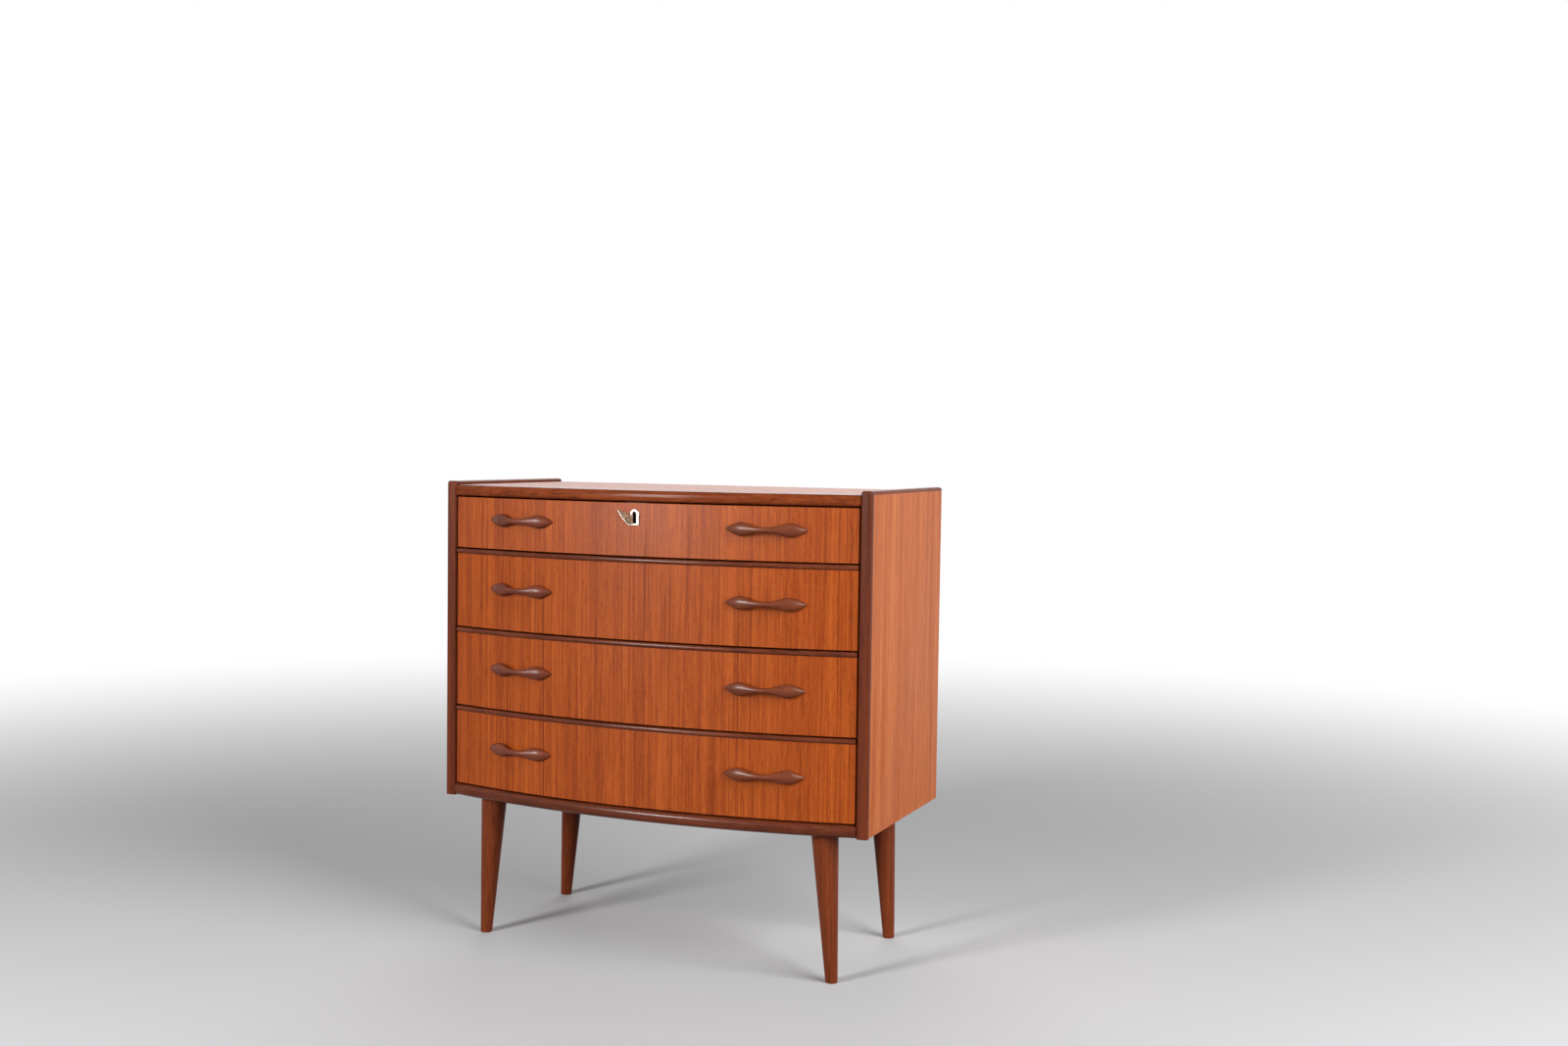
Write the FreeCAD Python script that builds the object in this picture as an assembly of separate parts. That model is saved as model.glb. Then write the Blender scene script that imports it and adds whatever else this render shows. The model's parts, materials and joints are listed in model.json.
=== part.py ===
"""Bow front chest of drawers: a veneered case on splayed legs, with four bowed drawers.

Millimetres, +Z up, front towards -Y. The model is drawn with y = 0 at the front edge of the two sides
and is then moved so that the origin is the bottom centre of its box.
"""
import FreeCAD, Part
import math
import os
from collections import namedtuple

# Case
overall_width = 750.0
overall_height = 756.0
leg_height = 232.0
side_depth = 339.0
side_thickness = 18.0
front_lipping_depth = 10.0
top_lipping_thickness = 6.0
lipping_round = 4.5
top_drop = 6.0
top_thickness = 18.0
bottom_thickness = 20.0
tongue_length = 6.0
tongue_thickness = 8.0
tongue_front_inset = 45.0
tongue_back_inset = 20.0

# Back panel, let into a rebate all round
back_thickness = 5.0
back_inset = 1.5
back_rebate = 8.0
back_fit = 0.3
back_screw_rows = 3

# Bow of the front
bow_rise = 44.0
front_setback = 3.0
front_thickness = 20.0
moulding_overhang = 3.0
moulding_depth = 30.0
moulding_top_round = 7.0
moulding_under_round = 2.5
rail_round = 8.5

# Drawer fronts
drawer_gap = 2.2
drawer_end_gap = 2.0
top_front_height = 83.0
lower_drawer_count = 3
lip_thickness = 8.0
lip_overhang = 2.5
lip_round = 3.6

# Drawer boxes
box_top_drop = 8.0
box_bottom_rise = 8.0
box_rear_gap = 16.0
drawer_side_thickness = 13.0
drawer_back_thickness = 12.0
drawer_back_inset = 6.0
drawer_back_drop = 5.0
drawer_back_housing = 3.0
drawer_bottom_thickness = 5.0
bottom_groove_rise = 8.0
bottom_groove_depth = 6.0
bottom_fit = 0.2
tail_length = 11.0
tail_pitch = 36.0
tail_width_share = 0.55
tail_slope_share = 0.14

# Runners, one at each side of each drawer
runner_height = 14.0
runner_groove_depth = 7.0
runner_side_gap = 0.5
runner_clearance = 0.3
runner_front_inset = 48.0
runner_rear_gap = 6.0
runner_screw_inset = 40.0

# Legs
leg_top_diameter = 42.5
leg_foot_diameter = 19.0
leg_foot_inset = 63.5
leg_splay = 14.5
leg_front_inset = 28.0
leg_back_inset = 49.0
leg_foot_round = 1.5
stud_diameter = 8.0
stud_in_leg = 35.0
stud_in_panel = 14.0

# Handles: sections from the tip to the middle, as shares of the half length and of the sizes named here
handle_offset = 215.5
handle_rise = 6.5
handle_length = 127.0
handle_bulge_spacing = 75.0
handle_bulge_height = 23.0
handle_bulge_depth = 17.0
handle_waist_height = 9.0
handle_waist_depth = 9.0
handle_tip_height = 2.4
handle_tip_standoff = 1.8
handle_bulge_standoff = 4.5
handle_waist_standoff = 14.5
tip_to_bulge_place_shares = (0.12, 0.38, 0.65)
tip_to_bulge_swell_shares = (0.24, 0.60, 0.86)
bulge_to_waist_place_shares = (0.25, 0.52, 0.76)
bulge_to_waist_fall_shares = (0.42, 0.92, 0.99)
bulge_to_waist_lift_shares = (0.34, 0.76, 0.95)

# Keyhole and escutcheon, measured from the round of the keyhole
keyhole_drop = 17.3
keyhole_radius = 3.6
keyhole_slot_width = 5.6
keyhole_slot_drop = 14.5
escutcheon_thickness = 2.0
escutcheon_ring_radius = 7.8
escutcheon_foot_drop = 17.6
escutcheon_foot_reach = 10.6
escutcheon_wing_reach = 30.5
escutcheon_wing_rise = 6.0
escutcheon_notch_share = 0.94
wing_outer_place_shares = (0.55, 0.42)
wing_inner_place_shares = (0.48, 0.36)

# Lock in the back of the top drawer's front
lock_case_width = 44.0
lock_case_height = 36.0
lock_case_depth = 10.0
lock_wall = 1.2
lock_flange_reach = 10.0
lock_flange_thickness = 1.5
lock_fit = 0.2
lock_pin_diameter = 4.0
lock_pin_setback = 4.0
lock_screw_inset = 8.0
bolt_width = 16.0
bolt_thickness = 5.0
bolt_shoulder_reach = 4.0
bolt_shoulder_height = 4.0
bolt_height = 12.0
bolt_clearance = 0.3
bolt_throw = 6.0
strike_width = 34.0
strike_depth = 12.0
strike_thickness = 1.2
strike_slot_clearance = 1.0

# Screws
back_screw_diameter = 3.0
back_screw_head = 6.0
back_screw_length = 20.0
runner_screw_diameter = 3.5
runner_screw_head = 7.0
runner_screw_length = 20.0
lock_screw_diameter = 2.5
lock_screw_head = 5.0
lock_screw_length = 11.0
handle_screw_diameter = 4.0
handle_screw_head = 8.0
handle_screw_bite = 8.0
screw_clearance = 0.15
screw_point_share = 0.8

# How far a cutting solid runs past what it cuts
overrun = 5.0

# Levels and widths that follow
outer_half = overall_width / 2
inner_half = outer_half - side_thickness
side_panel_top = overall_height - top_lipping_thickness
top_high = overall_height - top_drop
top_low = top_high - top_thickness
bottom_high = leg_height + bottom_thickness
back_rear = side_depth - back_inset
back_front = back_rear - back_thickness
bow_radius = (inner_half ** 2 + bow_rise ** 2) / (2 * bow_rise)
bow_centre = front_setback - bow_rise + bow_radius
bow_apex = bow_centre - bow_radius
board_front_radius = bow_radius + moulding_overhang - moulding_depth
front_inner_radius = bow_radius - front_thickness
drawer_half = inner_half - drawer_end_gap
box_inner_half = drawer_half - drawer_side_thickness
box_rear = back_front - box_rear_gap
drawer_back_rear = box_rear - drawer_back_inset
drawer_back_front = drawer_back_rear - drawer_back_thickness
gap_count = lower_drawer_count + 2
lower_front_height = (top_low - bottom_high - gap_count * drawer_gap - top_front_height) / lower_drawer_count
runner_inner = drawer_half - runner_groove_depth + runner_side_gap
runner_rear = back_front - runner_rear_gap

Screw = namedtuple("Screw", "diameter head length")
back_screw = Screw(back_screw_diameter, back_screw_head, back_screw_length)
runner_screw = Screw(runner_screw_diameter, runner_screw_head, runner_screw_length)
lock_screw = Screw(lock_screw_diameter, lock_screw_head, lock_screw_length)
handle_screw = Screw(handle_screw_diameter, handle_screw_head, front_thickness + handle_screw_bite)

X_AXIS = FreeCAD.Vector(1, 0, 0)
Y_AXIS = FreeCAD.Vector(0, 1, 0)
Z_AXIS = FreeCAD.Vector(0, 0, 1)

# low and high bound a whole drawer front; panel_high is the top of its veneered panel, under any lip
Drawer = namedtuple("Drawer", "number low high panel_high")


def block(x_low, x_high, y_low, y_high, z_low, z_high):
    corner = FreeCAD.Vector(x_low, y_low, z_low)
    return Part.makeBox(x_high - x_low, y_high - y_low, z_high - z_low, corner)


def mirrored(shape):
    """The same piece on the other side of the chest's middle plane."""
    return shape.mirror(FreeCAD.Vector(0, 0, 0), X_AXIS)


def both_sides(shapes):
    return shapes + [mirrored(shape) for shape in shapes]


def cut_all(shape, tools):
    return shape.cut(tools).removeSplitter()


def one_solid(pieces):
    return pieces[0].multiFuse(pieces[1:]).removeSplitter()


def extruded(edges, height):
    return Part.Face(Part.Wire(Part.__sortEdges__(edges))).extrude(height)


def outline(points):
    """Straight edges round a closed list of points."""
    return [Part.makeLine(a, b) for a, b in zip(points, points[1:] + points[:1])]


def bow_y(radius, x):
    """Where a curve concentric with the bow stands at x."""
    return bow_centre - math.sqrt(radius ** 2 - x ** 2)


def bow_point(radius, x, z):
    return FreeCAD.Vector(x, bow_y(radius, x), z)


def bow_arc(radius, half_width, z):
    points = [bow_point(radius, x, z) for x in (-half_width, 0, half_width)]
    return Part.Arc(*points).toShape()


def bow_slab(outer_radius, inner_radius, half_width, z_low, z_high):
    """A bent board between two curves concentric with the bow, cut square at its ends."""
    edges = [bow_arc(radius, half_width, z_low) for radius in (outer_radius, inner_radius)]
    for x in (-half_width, half_width):
        edges.append(Part.makeLine(bow_point(outer_radius, x, z_low), bow_point(inner_radius, x, z_low)))
    return extruded(edges, Z_AXIS * (z_high - z_low))


def bow_board(front_radius, half_width, rear, z_low, z_high):
    """A flat board with a bowed front edge and square sides and back."""
    corners = [bow_point(front_radius, half_width, z_low), FreeCAD.Vector(half_width, rear, z_low),
               FreeCAD.Vector(-half_width, rear, z_low), bow_point(front_radius, -half_width, z_low)]
    edges = [Part.makeLine(a, b) for a, b in zip(corners, corners[1:])]
    edges.append(bow_arc(front_radius, half_width, z_low))
    return extruded(edges, Z_AXIS * (z_high - z_low))


def nosed_bar(overhang, depth, half_width, z_low, z_high, low_round, high_round):
    """A bent bar that stands out past the bow by an overhang, with rounded front edges."""
    front = bow_apex - overhang
    rear = front + depth
    bend = 1 - math.sqrt(2) / 2

    def at(y, z):
        return FreeCAD.Vector(0, y, z)

    under = [at(front + low_round, z_low), at(front + low_round * bend, z_low + low_round * bend),
             at(front, z_low + low_round)]
    over = [at(front, z_high - high_round), at(front + high_round * bend, z_high - high_round * bend),
            at(front + high_round, z_high)]
    edges = [Part.Arc(*under).toShape(), Part.Arc(*over).toShape()]
    path = [over[2], at(rear, z_high), at(rear, z_low), under[0]]
    edges += [Part.makeLine(a, b) for a, b in zip(path, path[1:])]
    edges.append(Part.makeLine(under[2], over[0]))
    profile = Part.Face(Part.Wire(Part.__sortEdges__(edges)))
    centre = FreeCAD.Vector(0, bow_centre, 0)
    half_turn = math.degrees(math.asin((half_width + overrun) / (bow_centre - rear)))
    profile.rotate(centre, Z_AXIS, -half_turn)
    ring = profile.revolve(centre, Z_AXIS, 2 * half_turn)
    return ring.common(block(-half_width, half_width, front - overrun, bow_centre, z_low, z_high))


def turned_screw(screw, place, direction, clearance=0.0):
    """A countersunk screw, its head flush at place; with a clearance it is the hole for that screw."""
    shank = screw.diameter / 2 + clearance
    head = screw.head / 2 + clearance
    length = screw.length + clearance
    point = length - screw.diameter * screw_point_share
    profile = [(0, 0), (head, 0), (shank, head - shank), (shank, point), (0, length)]
    if clearance:
        profile[:1] = [(0, -overrun), (head, -overrun)]
    corners = [FreeCAD.Vector(r, 0, z) for r, z in profile]
    shape = Part.Face(Part.Wire(outline(corners))).revolve(FreeCAD.Vector(0, 0, 0), Z_AXIS, 360)
    shape.Placement = FreeCAD.Placement(place, FreeCAD.Rotation(Z_AXIS, direction))
    return shape


def screw_hole(screw, place, direction):
    return turned_screw(screw, place, direction, screw_clearance)


def screw_group(screw, seats):
    return Part.makeCompound([turned_screw(screw, place, direction) for place, direction in seats])


def screw_holes(screw, seats):
    return [screw_hole(screw, place, direction) for place, direction in seats]


# Case


def edges_where(shape, test):
    return [edge for edge in shape.Edges if test(edge.BoundBox)]


def front_lipping():
    bar = block(inner_half, outer_half, 0, front_lipping_depth, leg_height, overall_height)

    def is_rounded(box):
        upright_in_front = box.YMax < lipping_round and box.ZLength > lipping_round
        on_top = box.ZMin > side_panel_top and box.YMin < lipping_round
        return upright_in_front or on_top

    return bar.makeFillet(lipping_round, edges_where(bar, is_rounded))


def top_lipping():
    bar = block(inner_half, outer_half, front_lipping_depth, side_depth, side_panel_top, overall_height)

    def is_rounded(box):
        return box.ZMin > side_panel_top and box.YMax > side_depth - lipping_round

    return bar.makeFillet(lipping_round, edges_where(bar, is_rounded))


def tongue(z_low, z_high):
    """The tongue on a board's right end, which is also the groove for it in the side."""
    middle = (z_low + z_high) / 2
    return block(inner_half, inner_half + tongue_length, tongue_front_inset, back_front - tongue_back_inset,
                 middle - tongue_thickness / 2, middle + tongue_thickness / 2)


def back_room(fit):
    """The space of the back panel, drawn in by a fit, and open to the rear where that is zero."""
    reach = inner_half + back_rebate - fit
    rear = back_rear if fit else side_depth + overrun
    low = bottom_high - back_rebate + fit
    high = top_low + back_rebate - fit
    return block(-reach, reach, back_front, rear, low, high)


def back_screw_seats():
    """Head place and direction of each screw, in rows along all four edges of the back panel."""
    seats = []
    reach = inner_half + back_rebate / 2
    low = bottom_high - back_rebate / 2
    high = top_low + back_rebate / 2
    for row in range(back_screw_rows):
        along = (row + 0.5) / back_screw_rows
        x = reach * (2 * along - 1)
        z = low + (high - low) * along
        seats += [FreeCAD.Vector(x, back_rear, low), FreeCAD.Vector(x, back_rear, high)]
        seats += [FreeCAD.Vector(-reach, back_rear, z), FreeCAD.Vector(reach, back_rear, z)]
    return [(place, -Y_AXIS) for place in seats]


def back_panel():
    return cut_all(back_room(back_fit), screw_holes(back_screw, back_screw_seats()))


def side_panel(drawers):
    panel = block(inner_half, outer_half, front_lipping_depth, side_depth, leg_height, side_panel_top)
    tools = [tongue(top_low, top_high), tongue(leg_height, bottom_high), back_room(0)]
    tools += screw_holes(back_screw, back_screw_seats())
    for drawer in drawers:
        tools += screw_holes(runner_screw, runner_screw_seats(drawer))
    return cut_all(panel, tools)


def case_board(z_low, z_high):
    """Top or bottom of the case, tongued into both sides and rebated for the back."""
    board = bow_board(board_front_radius, inner_half, side_depth, z_low, z_high)
    board = one_solid([board] + both_sides([tongue(z_low, z_high)]))
    return cut_all(board, [back_room(0)] + screw_holes(back_screw, back_screw_seats()))


def top_moulding():
    bar = nosed_bar(moulding_overhang, moulding_depth, inner_half, top_low, top_high,
                    moulding_under_round, moulding_top_round)
    return cut_all(bar, [strike_blank(), strike_mortise()])


def bottom_rail():
    return nosed_bar(moulding_overhang, moulding_depth, inner_half, leg_height, bottom_high,
                     rail_round, rail_round)


# Legs


def leg_line(y):
    """Foot and top of a right-hand leg's centre line."""
    foot_x = outer_half - leg_foot_inset
    foot = FreeCAD.Vector(foot_x, y, 0)
    top = FreeCAD.Vector(foot_x - leg_splay, y, leg_height)
    return foot, top


def stud(y, clearance):
    foot, top = leg_line(y)
    axis = (top - foot).normalize()
    length = stud_in_leg + stud_in_panel + 2 * clearance
    start = top - axis * (stud_in_leg + clearance)
    return Part.makeCylinder(stud_diameter / 2 + clearance, length, start, axis)


def leg(y):
    """A tapered leg, cut level at the floor and under the case, and bored for its stud."""
    foot, top = leg_line(y)
    axis = (top - foot).normalize()
    length = (top - foot).Length
    spare = leg_top_diameter * leg_splay / leg_height
    taper = (leg_top_diameter - leg_foot_diameter) / 2 / length
    cone = Part.makeCone(leg_foot_diameter / 2 - taper * spare, leg_top_diameter / 2 + taper * spare,
                         length + 2 * spare, foot - axis * spare, axis)
    room = block(0, outer_half, y - leg_top_diameter, y + leg_top_diameter, 0, leg_height)
    shape = cone.common(room)
    shape = shape.makeFillet(leg_foot_round, edges_where(shape, lambda box: box.ZMax < leg_foot_round))
    return cut_all(shape, [stud(y, screw_clearance)])


def leg_rows():
    return {"front": leg_front_inset, "back": side_depth - leg_back_inset}


# Runners


def box_low(drawer):
    return drawer.low + box_bottom_rise


def box_high(drawer):
    return drawer.panel_high - box_top_drop


def runner_bar(drawer, clearance, x_low, x_high, rear):
    """A bar with a round front end at the middle height of a drawer's sides."""
    middle = (box_low(drawer) + box_high(drawer)) / 2
    radius = runner_height / 2 + clearance
    centre = runner_front_inset + runner_height / 2
    bar = block(x_low, x_high, centre, rear, middle - radius, middle + radius)
    nose = Part.makeCylinder(radius, x_high - x_low, FreeCAD.Vector(x_low, centre, middle), X_AXIS)
    return one_solid([bar, nose])


def runner_screw_seats(drawer):
    middle = (box_low(drawer) + box_high(drawer)) / 2
    places = (runner_front_inset + runner_screw_inset, runner_rear - runner_screw_inset)
    return [(FreeCAD.Vector(runner_inner, y, middle), X_AXIS) for y in places]


def runner(drawer):
    bar = runner_bar(drawer, 0, runner_inner, inner_half, runner_rear)
    return cut_all(bar, screw_holes(runner_screw, runner_screw_seats(drawer)))


# Drawers


def drawer_levels():
    """The drawers from the top down; every front but the first has a lip on its top edge."""
    drawers = []
    high = top_low - drawer_gap
    for number in range(1, lower_drawer_count + 2):
        height = top_front_height if number == 1 else lower_front_height
        lip = 0 if number == 1 else lip_thickness
        drawers.append(Drawer(number, high - height, high, high - lip))
        high -= height + drawer_gap
    return drawers


def shoulder_y():
    """The flat on the back of a front where the end of a drawer side stands."""
    return bow_y(front_inner_radius, box_inner_half)


def tails(drawer):
    """Dovetails on the front end of the right-hand drawer side."""
    low = box_low(drawer)
    height = box_high(drawer) - low
    count = max(2, round(height / tail_pitch))
    pitch = height / count
    wide = pitch * tail_width_share / 2
    narrow = wide - tail_length * tail_slope_share
    root = shoulder_y()
    shapes = []
    for number in range(count):
        z = low + pitch * (number + 0.5)
        corners = [FreeCAD.Vector(box_inner_half, y, z + rise) for y, rise in
                   ((root, -narrow), (root - tail_length, -wide), (root - tail_length, wide), (root, narrow))]
        shapes.append(extruded(outline(corners), X_AXIS * drawer_side_thickness))
    return shapes


def bottom_level(drawer):
    return box_low(drawer) + bottom_groove_rise


def handle_places(drawer):
    """Handle centres on the face of a front, with the turn that lays a handle along the bow there."""
    z = (drawer.low + drawer.panel_high) / 2 + handle_rise
    turn = math.degrees(math.asin(handle_offset / bow_radius))
    return {"left": (bow_point(bow_radius, -handle_offset, z), -turn),
            "right": (bow_point(bow_radius, handle_offset, z), turn)}


def on_front(place, turn):
    """Placement of a piece drawn along the X axis and standing out towards -Y."""
    return FreeCAD.Placement(place, FreeCAD.Rotation(Z_AXIS, turn))


def handle_screw_seats(drawer):
    seats = []
    u = handle_bulge_spacing / 2
    head = bow_radius - math.sqrt(front_inner_radius ** 2 - u ** 2)
    for place, turn in handle_places(drawer).values():
        placement = on_front(place, turn)
        outward = placement.Rotation.multVec(-Y_AXIS)
        for side in (-1, 1):
            seats.append((placement.multVec(FreeCAD.Vector(side * u, head, 0)), outward))
    return seats


def drawer_front(drawer):
    front = bow_slab(bow_radius, front_inner_radius, drawer_half, drawer.low, drawer.panel_high)
    seat = block(box_inner_half, drawer_half + overrun, shoulder_y(), shoulder_y() + front_thickness,
                 drawer.low - overrun, drawer.panel_high + overrun)
    level = bottom_level(drawer)
    groove = bow_slab(front_inner_radius + bottom_groove_depth, front_inner_radius - overrun, box_inner_half,
                      level - bottom_fit, level + drawer_bottom_thickness + bottom_fit)
    tools = both_sides([seat] + tails(drawer)) + [groove]
    tools += screw_holes(handle_screw, handle_screw_seats(drawer))
    if drawer.number == 1:
        tools += lock_cuts(drawer)
    return cut_all(front, tools)


def drawer_lip(drawer):
    return nosed_bar(lip_overhang, front_thickness + lip_overhang, drawer_half, drawer.panel_high,
                     drawer.high, lip_round, lip_round)


def drawer_side(drawer):
    """Right-hand side: dovetailed in front, grooved for the runner and the bottom, housed for the back."""
    low = box_low(drawer)
    high = box_high(drawer)
    board = block(box_inner_half, drawer_half, shoulder_y(), box_rear, low, high)
    board = one_solid([board] + tails(drawer))
    level = bottom_level(drawer)
    floor = level + drawer_bottom_thickness
    groove = block(box_inner_half - overrun, box_inner_half + bottom_groove_depth, shoulder_y(),
                   box_rear + overrun, level - bottom_fit, floor + bottom_fit)
    housing = block(box_inner_half - overrun, box_inner_half + drawer_back_housing, drawer_back_front,
                    drawer_back_rear, floor, high + overrun)
    slide = runner_bar(drawer, runner_clearance, drawer_half - runner_groove_depth, drawer_half + overrun,
                       box_rear + overrun)
    return cut_all(board, [groove, housing, slide])


def drawer_back(drawer):
    reach = box_inner_half + drawer_back_housing
    floor = bottom_level(drawer) + drawer_bottom_thickness
    high = box_high(drawer) - drawer_back_drop
    return block(-reach, reach, drawer_back_front, drawer_back_rear, floor, high)


def drawer_bottom(drawer):
    """Thin board whose bowed front edge lies in the groove of the front and whose ends lie in the sides."""
    level = bottom_level(drawer)
    top = level + drawer_bottom_thickness
    radius = front_inner_radius + bottom_groove_depth - bottom_fit
    half = box_inner_half - bottom_fit
    reach = box_inner_half + bottom_groove_depth - bottom_fit
    middle = bow_board(radius, half, drawer_back_rear, level, top)
    wings = block(-reach, reach, shoulder_y() + bottom_fit, drawer_back_rear, level, top)
    return one_solid([middle, wings])


# Handles


def handle_sections():
    """From one tip to the middle: place along the handle, stand-off, half height and half depth."""
    tip = handle_length / 2
    bulge = handle_bulge_spacing / 2
    tip_half = handle_tip_height / 2
    high = handle_bulge_height / 2
    deep = handle_bulge_depth / 2
    sections = [(tip, handle_tip_standoff, tip_half, tip_half)]
    for place, swell in zip(tip_to_bulge_place_shares, tip_to_bulge_swell_shares):
        standoff = handle_tip_standoff + swell * (handle_bulge_standoff - handle_tip_standoff)
        sections.append((tip + place * (bulge - tip), standoff,
                         tip_half + swell * (high - tip_half), tip_half + swell * (deep - tip_half)))
    sections.append((bulge, handle_bulge_standoff, high, deep))
    waist_shares = zip(bulge_to_waist_place_shares, bulge_to_waist_fall_shares, bulge_to_waist_lift_shares)
    for place, fall, lift in waist_shares:
        standoff = handle_bulge_standoff + lift * (handle_waist_standoff - handle_bulge_standoff)
        sections.append((bulge - place * bulge, standoff, high + fall * (handle_waist_height / 2 - high),
                         deep + fall * (handle_waist_depth / 2 - deep)))
    sections.append((0, handle_waist_standoff, handle_waist_height / 2, handle_waist_depth / 2))
    return sections


def handle_ring(u, standoff, half_height, half_depth):
    """An oval across the handle, set off from the bowed face behind it."""
    circle = Part.Wire(Part.Circle(FreeCAD.Vector(0, 0, 0), X_AXIS, 1).toShape())
    stretch = FreeCAD.Matrix()
    stretch.scale(1, half_depth, half_height)
    oval = circle.transformGeometry(stretch)
    fall = bow_radius - math.sqrt(bow_radius ** 2 - u ** 2)
    oval.translate(FreeCAD.Vector(u, fall - standoff, 0))
    return oval


def handle_blank():
    half = handle_sections()
    whole = half + [(-u, *rest) for u, *rest in reversed(half[:-1])]
    return Part.makeLoft([handle_ring(*section) for section in whole], True, False)


def handle(drawer, side):
    """One carved handle, its back shaped to the bowed front that it is screwed to."""
    place, turn = handle_places(drawer)[side]
    shape = handle_blank()
    shape.Placement = on_front(place, turn)
    room = bow_slab(bow_radius, front_inner_radius, drawer_half, drawer.low, drawer.panel_high)
    return cut_all(shape, [room] + screw_holes(handle_screw, handle_screw_seats(drawer)))


# Lock and escutcheon


def keyhole_level(drawer):
    return drawer.panel_high - keyhole_drop


def keyhole_cut(drawer, y_low, y_high):
    z = keyhole_level(drawer)
    half = keyhole_slot_width / 2
    bore = Part.makeCylinder(keyhole_radius, y_high - y_low, FreeCAD.Vector(0, y_low, z), Y_AXIS)
    return one_solid([bore, block(-half, half, y_low, y_high, z - keyhole_slot_drop, z)])


def escutcheon(drawer):
    """A thin plate with a ring round the keyhole, a square foot and one wing that ends in a point."""
    level = keyhole_level(drawer)

    def at(x, rise):
        return FreeCAD.Vector(x, bow_apex - escutcheon_thickness, level + rise)

    def between(a, b, shares):
        return at(a.x + (b.x - a.x) * shares[0], a.z + (b.z - a.z) * shares[1] - level)

    ring = escutcheon_ring_radius
    notch_drop = ring * math.sqrt(1 - escutcheon_notch_share ** 2)
    foot_left = at(-escutcheon_foot_reach, -escutcheon_foot_drop)
    wing_tip = at(-escutcheon_wing_reach, escutcheon_wing_rise)
    notch = at(-ring * escutcheon_notch_share, -notch_drop)
    ring_right = at(ring, 0)
    foot_right = at(ring, -escutcheon_foot_drop)
    edges = [Part.Arc(foot_left, between(foot_left, wing_tip, wing_outer_place_shares), wing_tip).toShape(),
             Part.Arc(wing_tip, between(wing_tip, notch, wing_inner_place_shares), notch).toShape(),
             Part.Arc(notch, at(0, ring), ring_right).toShape(),
             Part.makeLine(ring_right, foot_right),
             Part.makeLine(foot_right, foot_left)]
    plate = extruded(edges, Y_AXIS * (escutcheon_thickness + front_thickness / 2))
    room = bow_slab(bow_radius, front_inner_radius, drawer_half, drawer.low, drawer.panel_high)
    return cut_all(plate, [room, keyhole_cut(drawer, bow_apex - overrun, bow_apex + overrun)])


def lock_rear():
    """The back of the lock, flush with the middle of the front's inner face."""
    return bow_apex + front_thickness


def lock_body(drawer, fit, rise):
    """Outside of the lock: a case let into the front and a thin flange behind it."""
    half = lock_case_width / 2
    rear = lock_rear()
    low = drawer.panel_high - lock_case_height
    shell = [(half, lock_case_depth), (half + lock_flange_reach, lock_flange_thickness)]
    return one_solid([block(-reach - fit, reach + fit, rear - depth - fit, rear + rise, low - fit,
                            drawer.panel_high + rise) for reach, depth in shell])


def bolt_room(clearance):
    """Cross-section of the bolt in the lock's depth, grown by a clearance."""
    middle = lock_rear() - lock_case_depth / 2
    half = bolt_thickness / 2 + clearance
    return middle - half, middle + half


def lock_bolt(drawer):
    half = bolt_width / 2
    low = drawer.panel_high - bolt_height
    head = block(-half, half, *bolt_room(0), low, drawer.panel_high)
    reach = half + bolt_shoulder_reach
    return one_solid([head, block(-reach, reach, *bolt_room(0), low, low + bolt_shoulder_height)])


def lock_screw_seats(drawer):
    reach = lock_case_width / 2 + lock_flange_reach / 2
    high = drawer.panel_high - lock_screw_inset
    low = drawer.panel_high - lock_case_height + lock_screw_inset
    return [(FreeCAD.Vector(x, lock_rear(), z), -Y_AXIS) for x in (-reach, reach) for z in (low, high)]


def lock_case(drawer):
    """Hollow case with a fixed pin for the key, a keyhole in front and a slot for the bolt on top."""
    half = lock_case_width / 2 - lock_wall
    rear = lock_rear()
    low = drawer.panel_high - lock_case_height
    inside_rear = rear - lock_flange_thickness
    hollow = block(-half, half, rear - lock_case_depth + lock_wall, inside_rear, low + lock_wall,
                   drawer.panel_high - lock_wall)
    slot_half = bolt_width / 2 + bolt_clearance
    slot = block(-slot_half, slot_half, *bolt_room(bolt_clearance), drawer.panel_high - lock_wall - overrun,
                 drawer.panel_high + overrun)
    keyhole = keyhole_cut(drawer, rear - lock_case_depth - overrun, inside_rear)
    holes = screw_holes(lock_screw, lock_screw_seats(drawer))
    shell = cut_all(lock_body(drawer, 0, 0), [hollow, slot, keyhole] + holes)
    tip = FreeCAD.Vector(0, bow_apex + lock_pin_setback, keyhole_level(drawer))
    pin = Part.makeCylinder(lock_pin_diameter / 2, inside_rear - tip.y, tip, Y_AXIS)
    return one_solid([shell, pin])


def lock_cuts(drawer):
    """What the lock and its key need cut out of the drawer front."""
    keyhole = keyhole_cut(drawer, bow_apex - overrun, lock_rear())
    return [keyhole, lock_body(drawer, lock_fit, overrun)] + screw_holes(lock_screw, lock_screw_seats(drawer))


def strike_slot(clearance, z_high):
    half = bolt_width / 2 + clearance
    return block(-half, half, *bolt_room(clearance), top_low - overrun, z_high)


def strike_blank():
    middle = sum(bolt_room(0)) / 2
    return block(-strike_width / 2, strike_width / 2, middle - strike_depth / 2, middle + strike_depth / 2,
                 top_low, top_low + strike_thickness)


def strike_mortise():
    return strike_slot(strike_slot_clearance, top_low + bolt_throw + strike_slot_clearance)


def strike_plate():
    return cut_all(strike_blank(), [strike_slot(strike_slot_clearance, top_low + overrun)])


# The whole chest


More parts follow.
